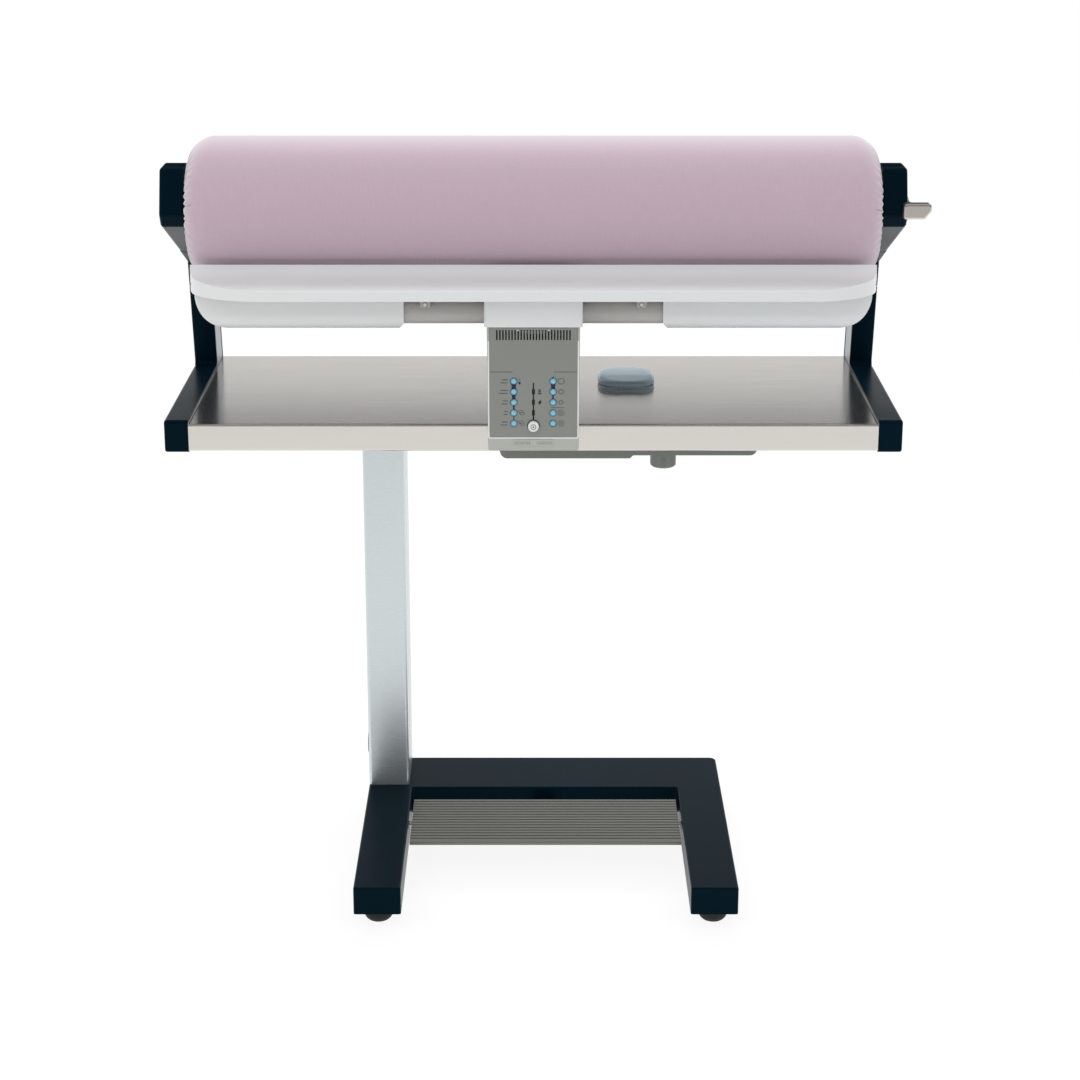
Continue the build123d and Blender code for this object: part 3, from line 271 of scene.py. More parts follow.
# %% Grained plastics in a loop
GRAINED = {
    "console_grey": ("spark-eroded light grey ABS", "#B4B4AD", "#BDBDB6", 0.45, 0.55, 0.4, 0.08),
    "fascia_grey": ("satin film, mid grey", "#888983", "#8F908A", 0.36, 0.44, 0.35, 0.03),
    "under_grey": ("moulded grey polypropylene", "#7C7F79", "#888B85", 0.42, 0.52, 0.6, 0.1),
    "lid_blue_grey": ("glossy blue-grey ABS", "#95A6B0", "#A2B1BA", 0.14, 0.2, 40, 0.03),
    "knob_white": ("glossy white acetal", "#E9EAEA", "#F2F2F1", 0.2, 0.26, 8, 0.02),
    "tank_natural": ("blow-moulded polyethylene", "#D2D6D5", "#DFE2E0", 0.4, 0.5, 5, 0.1),
    "board_green": ("dark solder mask on glass-fibre board", "#0A1C13", "#0E2418", 0.25, 0.35, 2, 0.05),
    "black_rubber": ("moulded black rubber", "#161617", "#1F1F20", 0.62, 0.78, 0.9, 0.2),
    "motor_black": ("baked black enamel", "#17181A", "#202225", 0.34, 0.44, 1.2, 0.06),
    "structural_steel": ("dark zinc-phosphate paint", "#1B1F23", "#262A2F", 0.45, 0.6, 1.4, 0.1),
    "tube_grey": ("silver stove enamel", "#B7B4B0", "#C0BDB9", 0.3, 0.4, 1.4, 0.04),
    "light_sheet": ("light grey stove enamel", "#A9B2B9", "#B6BEC4", 0.3, 0.4, 1.5, 0.05),
}
dressed = {}
for slot, (name, dark, light, smooth, rough, grain_mm, depth) in GRAINED.items():
    material, tree, shader = new_material(name, IOR=1.5)
    where = put(tree, "TexCoord").outputs["Object"]
    grain = put(tree, "TexNoise", {"Vector": where, "Scale": per_mm(grain_mm), "Detail": 2.0})
    tone = blend(tree, grain, dark, light)
    gloss = spread(tree, grain, smooth, rough)
    bump = relief(tree, grain, depth)
    finish(tree, shader, tone, gloss, bump)
    dressed[slot] = material
print("grained finishes:", len(dressed))

# %% [markdown]
# ## Bare and plated metals
#
# The pedal is an anodised aluminium extrusion, drawn through a die along X, so its die lines run the
# same way as the brushing on the shelf. The lever and screws are plated steel, the trough is machined and
# polished, and the bushes are sintered bronze. All of them are metals with a grain in some direction, so
# one loop stretches a noise by a different amount along each axis. The pedal's thick oxide skin hides
# most of the metal's mirror, so its metallic share is low.

# %% Metals in a loop
METALS = {
    "ribbed_aluminium": ("anodised extrusion", 0.35, "#7B7A75", "#84837D", 0.44, 0.54, (70, 0.8, 0.8), 0.04),
    "polished_aluminium": ("polished aluminium", 1.0, "#C8C8C9", "#D8D8D8", 0.14, 0.24, (50, 1.5, 1.5), 0.04),
    "bright_steel": ("nickel-plated steel", 1.0, "#BDBBB6", "#CFCDC8", 0.16, 0.26, (4, 4, 4), 0.03),
    "lever_steel": ("ground steel strip", 1.0, "#CFC8C1", "#E2DBD4", 0.26, 0.38, (30, 0.6, 0.6), 0.06),
    "zinc_steel": ("zinc-plated steel", 1.0, "#8F9294", "#A9ACAE", 0.32, 0.45, (3, 3, 3), 0.06),
    "bronze": ("sintered bronze", 1.0, "#8A6234", "#A87B47", 0.4, 0.55, (0.6, 0.6, 0.6), 0.15),
}
for slot, (name, metallic, dark, light, smooth, rough, grain, depth) in METALS.items():
    material, tree, shader = new_material(name, Metallic=metallic)
    where = put(tree, "TexCoord").outputs["Object"]
    drawn = put(tree, "Mapping", {"Vector": where, "Scale": tuple(per_mm(g) for g in grain)})
    lines = put(tree, "TexNoise", {"Vector": drawn.outputs[0], "Scale": 1.0, "Detail": 2.0})
    tone = blend(tree, lines, dark, light)
    gloss = spread(tree, lines, smooth, rough)
    bump = relief(tree, lines, depth)
    finish(tree, shader, tone, gloss, bump)
    dressed[slot] = material
dressed.update(dark_paint=powder_coat, stainless=brushed_stainless, silver_cover=silver_anodised,
               white_plastic=white_abs)
print("finishes so far:", len(dressed))

# %% [markdown]
# ## Pale blue buttons
#
# The buttons are moulded in a tinted, slightly cloudy plastic, so a lamp behind each can shine through.
# Real translucency costs render time for pieces 8 mm across. A little subsurface scattering in a light
# blue gives the same soft edge.

# %% Tinted translucent acrylic
button_acrylic, tree, shader = new_material("cloudy blue acrylic", IOR=1.49, Subsurface_Weight=0.25,
                                            Subsurface_Radius=(0.001, 0.002, 0.003))
where = put(tree, "TexCoord").outputs["Object"]
haze = put(tree, "TexNoise", {"Vector": where, "Scale": per_mm(3), "Detail": 2.0})
tone = blend(tree, haze, "#6FA9C0", "#7DB8CE")
gloss = spread(tree, haze, 0.18, 0.28)
finish(tree, shader, tone, gloss)
print("made:", button_acrylic.name)
dressed["button_blue"] = button_acrylic

# %% [markdown]
# ## Woven cotton
#
# The roller's cover is plain-woven cotton in a dusty pink. Its threads lie about 0.4 mm apart, which is
# finer than a pixel of the main view, so from there only the slubs show: thick places in single threads,
# a millimetre high and about two centimetres long. The weave could come from the object's own coordinates,
# but on a roller those would stretch the threads round the curve. The cover carries a map in metres
# instead, unrolled along its length and round its girth. Two crossed waves on it make the weave, drawn
# 1.8 mm apart so that it shows from near, and two stretched noises make slubs in warp and weft. A broad
# noise mottles the dye. Cotton fuzz catches light at grazing angles, which the shader's sheen adds.

# %% Plain-woven cotton
THREAD_MM, SLUB_MM, SLUB_LENGTH_MM, DYE_MM = 1.7765, 1.1, 18, 110
woven_cotton, tree, shader = new_material("plain-woven cotton, dusty pink", Sheen_Weight=1.0,
                                          Sheen_Roughness=0.55, Specular_IOR_Level=0.15)
cloth_map = put(tree, "UVMap", uv_map="cloth").outputs[0]
wave_scale = per_mm(THREAD_MM) * 2 * math.pi / 20  # at scale 1 a wave texture repeats every 2 pi / 20
wave = {"Vector": cloth_map, "Scale": wave_scale, "Distortion": 0.8, "Detail": 1.0}
warp, weft = (put(tree, "TexWave", wave, bands_direction=axis) for axis in "XY")
weave = put(tree, "Math", {0: warp.outputs["Fac"], 1: weft.outputs["Fac"]}, operation="MAXIMUM")
thick, long = per_mm(SLUB_MM), per_mm(SLUB_LENGTH_MM)
along_x = put(tree, "Mapping", {"Vector": cloth_map, "Scale": (long, thick, 1.0)})
round_girth = put(tree, "Mapping", {"Vector": cloth_map, "Scale": (thick, long, 1.0)})
warp_slubs = put(tree, "TexNoise", {"Vector": along_x.outputs[0], "Scale": 1.0, "Detail": 2.0})
weft_slubs = put(tree, "TexNoise", {"Vector": round_girth.outputs[0], "Scale": 1.0, "Detail": 2.0})
slubs = put(tree, "Math", {0: warp_slubs.outputs[0], 1: weft_slubs.outputs[0]}, operation="ADD")
slub_share = put(tree, "MapRange", {0: slubs.outputs[0], 1: 0.6, 2: 1.4})
dye = put(tree, "TexNoise", {"Vector": cloth_map, "Scale": per_mm(DYE_MM), "Detail": 3.0})
tone = blend(tree, dye, "#C2A6B4", "#C3ABBD")
threads = blend(tree, weave, "#BDA3B1", tone)
streaked = blend(tree, slub_share, threads, "#C8B0BE")
rough = spread(tree, dye, 0.78, 0.92)
thread_height = put(tree, "Math", {0: weave.outputs[0], 1: 0.5, 2: slub_share.outputs[0]},
                    operation="MULTIPLY_ADD")
bump = relief(tree, thread_height, 0.1, 0.0002)
finish(tree, shader, streaked, rough, bump)
print("made:", woven_cotton.name)
dressed["cover_cotton"] = woven_cotton

# %% [markdown]
# ## Needled felt
#
# Under the cotton lies a springy felt. It shows only at the ends, inside the hem. Fibres run every way,
# so a noise with much fine detail gives both its mottled cream colour and its fluffy relief.

# %% Felt
FIBRE_MM = 1.5
felt, tree, shader = new_material("needled wool felt", Sheen_Weight=0.5, Specular_IOR_Level=0.2)
where = put(tree, "TexCoord").outputs["Object"]
fibres = put(tree, "TexNoise", {"Vector": where, "Scale": per_mm(FIBRE_MM), "Detail": 6.0,
                                "Roughness": 0.7})
tone = blend(tree, fibres, "#BDB5A2", "#DDD6C6")
rough = spread(tree, fibres, 0.85, 1.0)
bump = relief(tree, fibres, 0.5, 0.0008)
finish(tree, shader, tone, rough, bump)
print("made:", felt.name)
dressed["padding_felt"] = felt

# %% [markdown]
# ## Dress the model
#
# The record that comes with the model says which finish each piece has. A loop hands every piece its
# material, so no piece is forgotten and a new one would be dressed the same way.

# %% Give every piece its finish
slot_of = {entry["node"]: entry["material_slot"] for entry in frame["record"]["subparts"]}
for name, piece in nodes.items():
    piece.data.materials.clear()
    piece.data.materials.append(dressed[slot_of[name]])
print("dressed:", len(slot_of))

# %% [markdown]
# ## The roller's cotton cover
#
# The cover is a tube of cotton pulled over the padding. A tape in each hem draws it in at the ends, so the
# spare girth has to go somewhere: it gathers into a few dozen small pleats that fan out from the hem and
# die away on the shoulder. A cloth simulation could find them, but it would put them in other places on
# each run. The pleats follow a simple rule instead: a set of waves round the girth, with uneven widths and
# depths, that grow from nothing on the shoulder to about a millimetre at the hem.

# %% Profile of the cover
ROLLER_Y, ROLLER_Z, ROLLER_R = 90.0, 911.5, 90.0
ROLLER_HALF, SHOULDER = 424.0, 33.0
HEM_R, HEM_X, HEM_ROLL = 42.0, 412.5, 2.4


def cover_profile():
    """(distance from the middle, radius, share of the pleats) from the middle to the hem, in mm."""
    steps = [(x, ROLLER_R, 0.0) for x in (0, 60, 120, 180, 240, 290, 330, 355, 372, 384)]
    centre = ROLLER_HALF - SHOULDER
    for i in range(15):
        a = math.radians(90 - i * 90 / 14)
        share = min(1.0, max(0.0, (i - 5) / 8) ** 1.4)
        steps.append((centre + SHOULDER * math.cos(a), ROLLER_R - SHOULDER + SHOULDER * math.sin(a), share))
    for x, r, share in ((423.6, 54.5, 1.0), (422.4, 51.5, 1.0), (419.8, 48.5, 0.9), (416.4, 45.4, 0.8)):
        steps.append((x, r, share))
    for i in range(7):  # the rolled hem that holds the tape
        a = math.radians(50 - i * 45)
        steps.append((HEM_X + HEM_ROLL * math.cos(a), HEM_R + HEM_ROLL * math.sin(a), 1.0))
    steps += [(413.6, 45.2, 0.8), (417.0, 49.5, 0.7), (419.0, 53.0, 0.5)]
    return steps


profile = cover_profile()
print("profile points from the middle to the hem:", len(profile))

# %% Pleats round the girth
random.seed(7)
GIRTH_STEPS = 600
PLEATS = 44


def pleat_wave():
    """Depth of the pleats at each step round the girth, from -1 to 1, uneven in width."""
    shifts = [random.uniform(-0.28, 0.28) for _ in range(PLEATS)]
    depths = [random.uniform(0.55, 1.0) for _ in range(PLEATS)]
    wave = []
    for i in range(GIRTH_STEPS):
        place = i / GIRTH_STEPS * PLEATS
        k = int(place) % PLEATS
        bend = shifts[k] * math.sin(math.pi * (place - int(place)))
        wave.append(depths[k] * math.cos(2 * math.pi * (place + bend)))
    return wave


PLEAT_DEPTH, PLEAT_STAND, PLEAT_DRAW = 1.3, 1.0, 0.4
CREASE_AT = {-1: 2.90, 1: 2.97}  # angle round the roller, at each end
CREASE_DEPTH, CREASE_WIDTH, CREASE_SLANT = 3.0, 0.013, 0.0022
CREASE_FROM, CREASE_FADE, CREASE_MIN_R = 408, 6, 52
print("pleats at each end:", PLEATS)

# %% Sew the cover
def sew_cover():
    mesh = bmesh.new()
    cloth = mesh.loops.layers.uv.new("cloth")
    left = [(-x, r, share, -1) for x, r, share in reversed(profile[1:])]
    right = [(x, r, share, 1) for x, r, share in profile]
    whole = left + right
    waves = {-1: pleat_wave(), 1: pleat_wave()}
    run, rings = 0.0, []
    along = [0.0]
    for a, b in zip(whole, whole[1:]):
        run += math.hypot(b[0] - a[0], b[1] - a[1])
        along.append(run)
    for x, r, share, side in whole:
        ring = []
        for i in range(GIRTH_STEPS):
            angle = 2 * math.pi * i / GIRTH_STEPS
            fold = waves[side][i] * share
            bend = CREASE_SLANT * (abs(x) - 412)
            near = math.exp(-((angle - CREASE_AT[side] - bend) / CREASE_WIDTH) ** 2)
            grown = max(0.0, min(1.0, (abs(x) - CREASE_FROM) / CREASE_FADE))
            crease = near * CREASE_DEPTH * grown if r > CREASE_MIN_R else 0.0
            drawn_r = r + fold * PLEAT_DEPTH - crease
            drawn_x = x + side * (fold * PLEAT_STAND - PLEAT_DRAW * share)
            ring.append(mesh.verts.new(at(drawn_x, ROLLER_Y + drawn_r * math.cos(angle),
                                          ROLLER_Z + drawn_r * math.sin(angle))))
        rings.append(ring)
    for j in range(len(rings) - 1):
        for i in range(GIRTH_STEPS):
            k = (i + 1) % GIRTH_STEPS
            face = mesh.faces.new((rings[j][i], rings[j + 1][i], rings[j + 1][k], rings[j][k]))
            face.smooth = True
            girth = 2 * math.pi * ROLLER_R / GIRTH_STEPS
            for loop, (v, u) in zip(face.loops, ((i, j), (i, j + 1), (i + 1, j + 1), (i + 1, j))):
                loop[cloth].uv = (along[u] * MM, v * girth * MM)
    mesh.normal_update()
    return to_object(mesh, "cotton_cover", woven_cotton)


cotton_cover = sew_cover()
thickness = cotton_cover.modifiers.new("cloth thickness", "SOLIDIFY")
thickness.thickness, thickness.offset = 0.0009, -1
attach(cotton_cover, "roller")
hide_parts("roller_cover")
print("cover faces:", len(cotton_cover.data.polygons))

# %% [markdown]
# ## The felt under the cover
#
# The padding is a thick sleeve of felt that is turned in over both ends of the steel tube. Only its end
# rims can be seen, through the mouth of the hem, so a turned profile is enough. Its rim is rounded and a
# little uneven, as cut felt is.

# %% Turn the padding
FELT_OUT, FELT_IN, FELT_STEPS = 87.9, 76.0, 96
BEND_X, BEND_R, BEND_ROUND = 391, 57, 30.6


def turn_padding():
    mesh = bmesh.new()
    outline = [(0, FELT_OUT), (BEND_X, FELT_OUT)]
    for i in range(1, 11):
        a = math.radians(90 - i * 8.4)
        outline.append((BEND_X + BEND_ROUND * math.cos(a), BEND_R + BEND_ROUND * math.sin(a)))
    outline += [(420.5, 61.2), (417.5, 60.6), (406.2, 60.8), (406.0, 62.5), (406.0, 75.6), (404.5, FELT_IN),
                (0, FELT_IN)]
    whole = [(-x, r) for x, r in reversed(outline[1:-1])] + outline[:-1]
    rings = []
    for x, r in whole:
        rings.append([mesh.verts.new(at(x, ROLLER_Y + r * math.cos(a), ROLLER_Z + r * math.sin(a)))
                      for a in (2 * math.pi * i / FELT_STEPS for i in range(FELT_STEPS))])
    rings.append(rings[0])
    for near, far in zip(rings, rings[1:]):
        for i in range(FELT_STEPS):
            k = (i + 1) % FELT_STEPS
            mesh.faces.new((near[i], far[i], far[k], near[k])).smooth = True
    return to_object(mesh, "felt_padding", felt)


felt_padding = turn_padding()
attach(felt_padding, "roller")
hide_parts("roller_padding")
print("felt faces:", len(felt_padding.data.polygons))

# %% [markdown]
# ## Lid of the water tank
#
# The lid is a blue-grey moulding like a flat pebble: straight at its hinge with bevelled corners, bowed
# towards the front, where a finger pulls at a lip. Such a form could be carved from a box, but its skin has
# no flat left, so it is built as rings of one outline that shrink as they rise. The front wall is pushed
# back under the lip, a shallow hollow on top sets the lip off, and subdivision rounds the whole.

# %% Rings of the lid
LID_X, LID_Y, LID_HALF_X, LID_HALF_Y, LID_FOOT = 121.5, 197.0, 37.3, 30.8, 660.9
LID_STEPS, LID_SQUARE = 64, 3.4  # a higher LID_SQUARE gives squarer corners


def lid_outline(size):
    """Outline of the lid as offsets from its middle, bevelled behind and bowed in front."""
    points = []
    for i in range(LID_STEPS):
        a = 2 * math.pi * i / LID_STEPS
        c, s = math.cos(a), math.sin(a)
        power = 2 / LID_SQUARE
        x = math.copysign(abs(c) ** power, c)
        y = math.copysign(abs(s) ** power, s)
        narrow = 1 - 0.16 * max(0.0, y) ** 3 - 0.08 * max(0.0, -y) ** 2
        points.append((x * narrow * LID_HALF_X * size, y * LID_HALF_Y * size))
    return points


LIP_HALF, LIP_RECESS, HOLLOW_DEPTH = 25.0, 4.2, 1.8
LID_TOP, LID_SLOPE = 13.3, 0.035


def hollow(x, y):
    """Depth of the shallow hollow behind the lip at a place on the lid."""
    bowed = y + 26.0 - 5.0 * (x / LIP_HALF) ** 2
    across = max(0.0, 1 - (x / LIP_HALF) ** 2)
    return HOLLOW_DEPTH * math.exp(-(bowed / 3.2) ** 2) * across ** 0.6


def finger_recess(x, y, rise):
    """How far the front wall is set back under the lip, along the wall and up it."""
    if y > 0:
        return 0.0
    across = max(0.0, 1 - (x / LIP_HALF) ** 2)
    upright = math.sin(math.pi * min(1.0, max(0.0, (rise - 0.6) / 7.6)))
    return LIP_RECESS * across ** 0.6 * max(0.0, upright) ** 0.5


def mould_lid():
    mesh = bmesh.new()
    outer = ((0.985, 0.0), (0.998, 1.2), (1.0, 2.6), (1.0, 4.2), (0.998, 5.8), (0.995, 7.2), (0.99, 8.2),
             (0.968, 9.8), (0.935, 11.2), (0.9, 12.0), (0.86, 12.5), (0.8, 12.9), (0.62, 13.2),
             (0.34, LID_TOP))
    inner = ((0.93, 0.0), (0.9, 1.2))
    rings = []
    for size, rise in reversed(inner):
        rings.append([mesh.verts.new(at(LID_X + x, LID_Y + y, LID_FOOT + rise))
                      for x, y in lid_outline(size)])
    for size, rise in outer:
        ring = []
        for x, y in lid_outline(size):
            up = min(1.0, rise / 10)
            tilt = LID_SLOPE * (y - LID_HALF_Y) * up  # the top falls a little towards the front
            back = finger_recess(x, y, rise)
            level = LID_FOOT + rise + tilt - hollow(x, y) * up
            ring.append(mesh.verts.new(at(LID_X + x, LID_Y + y + back, level)))
        rings.append(ring)
    for near, far in zip(rings, rings[1:]):
        for i in range(LID_STEPS):
            k = (i + 1) % LID_STEPS
            mesh.faces.new((near[i], near[k], far[k], far[i])).smooth = True
    crown = mesh.verts.new(at(LID_X, LID_Y, LID_FOOT + LID_TOP - LID_SLOPE * LID_HALF_Y))
    cellar = []  # the hollow over the filler neck
    for size_x, size_y, rise in ((0.8, 0.46, 1.2), (0.78, 0.44, 8.6)):
        cellar.append([mesh.verts.new(at(LID_X + x * size_x, LID_Y + y * size_y, LID_FOOT + rise))
                       for x, y in lid_outline(1.0)])
    roof = mesh.verts.new(at(LID_X, LID_Y, LID_FOOT + 8.7))
    for i in range(LID_STEPS):
        k = (i + 1) % LID_STEPS
        mesh.faces.new((rings[-1][i], rings[-1][k], crown)).smooth = True
        mesh.faces.new((rings[0][k], rings[0][i], cellar[0][i], cellar[0][k]))
        mesh.faces.new((cellar[0][k], cellar[0][i], cellar[1][i], cellar[1][k]))
        mesh.faces.new((cellar[1][k], cellar[1][i], roof))
    for x in (103, 140):  # two lugs that hold the hinge pin
        side = [(225.0, 660.9), (232.5, 660.9), (235.2, 662.6), (235.4, 664.6), (234.2, 666.6),
                (232.3, 667.0), (225.0, 669.8)]
        faces = [[mesh.verts.new(at(x + dx, y, z)) for y, z in side] for dx in (-2.9, 2.9)]
        mesh.faces.new(faces[0])
        mesh.faces.new(list(reversed(faces[1])))
        for i in range(len(side)):
            k = (i + 1) % len(side)
            mesh.faces.new((faces[0][k], faces[0][i], faces[1][i], faces[1][k]))
    return to_object(mesh, "moulded_lid", dressed["lid_blue_grey"])


moulded_lid = mould_lid()
rounding = moulded_lid.modifiers.new("rounding", "SUBSURF")
rounding.levels = rounding.render_levels = 1
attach(moulded_lid, "lid")
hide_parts("tank_lid")
print("lid faces:", len(moulded_lid.data.polygons))

# %% [markdown]
# ## Printing on the console
#
# The fascia is printed with dark blue wedges that join the buttons of one row of settings, with small
# marks beside the slider and with plain lines. Ink on film is a few hundredths of a millimetre thick.
# It could be painted by the fascia's own material, but a print made of thin flat shapes stays sharp at
# any distance and is easy to move. Each shape is a polygon laid a tenth of a millimetre proud of the
# film and thickened down to it. The same thin shapes also paint shade round the buttons and in the
# knob's groove, and a shadow round the knob.

# %% Ink, also for painted shade
def ink(name, dark, light, smooth=None):
    """Screen-printing ink, slightly mottled; the same colours also paint shade and shadow on the fascia and
    knob. With a value for smooth its gloss varies too.
    """
    material, tree, shader = new_material(name, IOR=1.5)
    where = put(tree, "TexCoord").outputs["Object"]
    mottle = put(tree, "TexNoise", {"Vector": where, "Scale": per_mm(0.8), "Detail": 2.0})
    tone = blend(tree, mottle, dark, light)
    finish(tree, shader, tone, spread(tree, mottle, smooth, 0.5) if smooth else None)
    print("made:", name)
    return material


ink_blue = ink("screen-printed dark blue ink", "#0A1742", "#10204F", 0.35)
# Black ink prints the slider's marks and also paints the shadow round the knob.
black_ink_and_painted_shadow = ink("black ink for print and painted shadow", "#141518", "#222428", 0.35)
# Dark grey ink prints lines and symbols and also paints the shade of the knob's groove.
grey_ink_and_painted_shade = ink("dark grey ink for print and painted shade", "#4E4F50", "#5B5C5C", 0.35)

# %% Prints and painted shade are flat shapes with a hair's thickness
FASCIA_Y = -44.2
BUTTON_X, BUTTON_Z, BUTTON_PITCH, BUTTON_R = 23.7, 726.5, 13.2, 3.75
BUTTON_FACE_Y, BUTTON_ROWS = -45.4, 5
INK_FRONT, INK_BACK = 0.12, 0.01


def lay_flat_shapes(name, outlines, ink_and_shade_colour, face_y=FASCIA_Y, body="stand"):
    """Lay outlines, given as (X, Z) in mm, on a face as one thin piece."""
    mesh = bmesh.new()
    for outline in outlines:
        front = [mesh.verts.new(at(x, face_y - INK_FRONT, z)) for x, z in outline]
        back = [mesh.verts.new(at(x, face_y - INK_BACK, z)) for x, z in outline]
        mesh.faces.new(front)
        mesh.faces.new(list(reversed(back)))
        for i in range(len(outline)):
            k = (i + 1) % len(outline)
            mesh.faces.new((front[i], back[i], back[k], front[k]))
    piece = to_object(mesh, name, ink_and_shade_colour)
    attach(piece, body)
    return piece


def box_shape(x0, x1, z0, z1):
    return [(x0, z0), (x1, z0), (x1, z1), (x0, z1)]


def ring_shapes(x, z, outer, inner, count=20):
    """A ring cut into short sectors, so each is a simple outline."""
    sectors = []
    for i in range(count):
        a, b = 2 * math.pi * i / count, 2 * math.pi * (i + 1) / count
        sectors.append([(x + outer * math.cos(a), z + outer * math.sin(a)),
                        (x + outer * math.cos(b), z + outer * math.sin(b)),
                        (x + inner * math.cos(b), z + inner * math.sin(b)),
                        (x + inner * math.cos(a), z + inner * math.sin(a))])
    return sectors


# %% Wedges between the buttons
def wedge(x, row, top_width, waist, low_width):
    """Bar from one button down to the next, flared where it meets their rings."""
    high = BUTTON_Z - row * BUTTON_PITCH - BUTTON_R + 1.0
    low = BUTTON_Z - (row + 1) * BUTTON_PITCH + BUTTON_R - 1.0
    middle = (high + low) / 2
    right = [(x + top_width / 2, high), (x + waist / 2 + 0.2, high - 1.8), (x + waist / 2, middle),
             (x + waist / 2 + 0.1, low + 1.8), (x + low_width / 2, low)]
    return right + [(2 * x - px, pz) for px, pz in reversed(right)]


LEFT_BARS = ((6.9, 5.2, 6.0), (5.6, 4.2, 4.8), (2.7, 1.9, 2.5), (1.7, 0.9, 1.3))
RIGHT_BARS = ((6.2, 4.8, 5.8), (2.5, 1.7, 2.3))
wedges = [wedge(-BUTTON_X, row, *widths) for row, widths in enumerate(LEFT_BARS)]
wedges += [wedge(BUTTON_X, row, *widths) for row, widths in enumerate(RIGHT_BARS)]
wedges.append([(BUTTON_X - 1.2, 730.6), (BUTTON_X + 1.2, 730.6), (BUTTON_X, 732.6)])
lay_flat_shapes("setting_wedges", wedges, ink_blue)

# %% Painted shade rings round the buttons, lenses coloured lighter as a painted highlight
teal_painted_shade = ink("teal painted shade round the buttons", "#3F6C7C", "#4A7A8A")
RING_OUT, RING_IN = 4.75, 4.12
# A dark teal ring round each button is painted shade where the button meets the fascia.
rings = []
for row in range(BUTTON_ROWS):
    for x in (-BUTTON_X, BUTTON_X):
        rings += ring_shapes(x, BUTTON_Z - row * BUTTON_PITCH, RING_OUT, RING_IN, 24)
lay_flat_shapes("button_shade_rings", rings, teal_painted_shade)


LENS_STEPS = 28


def button_lens(name, x, z):
    """A low clear dome in the middle of a button, turned from a short profile and coloured lighter than the
    button as a painted highlight.
    """
    mesh = bmesh.new()
    face_y = BUTTON_FACE_Y
    steps = [(2.5, 0.0), (2.3, 0.25), (1.7, 0.42), (0.9, 0.5)]
    turned = [[mesh.verts.new(at(x + r * math.cos(a), face_y - out, z + r * math.sin(a)))
               for a in (2 * math.pi * i / LENS_STEPS for i in range(LENS_STEPS))] for r, out in steps]
    back = [mesh.verts.new(at(v.co.x * 1000 + ORIGIN_X, face_y + 0.2, v.co.z * 1000)) for v in turned[0]]
    top = mesh.verts.new(at(x, face_y - 0.53, z))
    for near, far in zip([back] + turned, turned):
        for i in range(LENS_STEPS):
            k = (i + 1) % LENS_STEPS
            mesh.faces.new((near[i], near[k], far[k], far[i])).smooth = True
    for i in range(LENS_STEPS):
        mesh.faces.new((turned[-1][i], turned[-1][(i + 1) % LENS_STEPS], top)).smooth = True
    mesh.faces.new(list(reversed(back)))
    return to_object(mesh, name, lens_painted_highlight)


lens_painted_highlight, tree, shader = new_material("clear light blue acrylic, lighter as a painted highlight", IOR=1.49)
where = put(tree, "TexCoord").outputs["Object"]
haze = put(tree, "TexNoise", {"Vector": where, "Scale": per_mm(2), "Detail": 2.0})
# Lighter than the button: the dome is real, its lighter colour is a painted highlight.
tone = blend(tree, haze, "#8EBFD1", "#A2CDDB")
gloss = spread(tree, haze, 0.16, 0.24)
finish(tree, shader, tone, gloss)
print("made:", lens_painted_highlight.name)
for side, x in (("left", -BUTTON_X), ("right", BUTTON_X)):
    for row in range(BUTTON_ROWS):
        lens_piece = button_lens(f"lens_{side}_{row + 1}", x, BUTTON_Z - row * BUTTON_PITCH)
        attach(lens_piece, f"button_{side}_{row + 1}")

# %% Lines and the marks beside the slider
lines = [box_shape(-52, -25.5, 737.6, 738.4), box_shape(25, 52, 737.6, 738.4),
         box_shape(20.4, 37, 693.1, 693.8)]
marks = []
for z in (713.3, 700.1, 686.9):  # each mark is split by the slot
    marks += [box_shape(-1.8, -0.82, z - 3.3, z + 3.3), box_shape(0.82, 1.8, z - 3.3, z + 3.3)]
lay_flat_shapes("fascia_lines", lines, grey_ink_and_painted_shade)
lay_flat_shapes("slider_marks", marks, black_ink_and_painted_shadow)


# %% Plain symbols
def outline_bars(corners, width):
    """A closed line of so many millimetres drawn as one thin bar along each side."""
    bars = []
    for (x0, z0), (x1, z1) in zip(corners, corners[1:] + corners[:1]):
        length = math.hypot(x1 - x0, z1 - z0)
        nx, nz = (z1 - z0) / length * width / 2, -(x1 - x0) / length * width / 2
        bars.append([(x0 + nx, z0 + nz), (x1 + nx, z1 + nz), (x1 - nx, z1 - nz), (x0 - nx, z0 - nz)])
    return bars


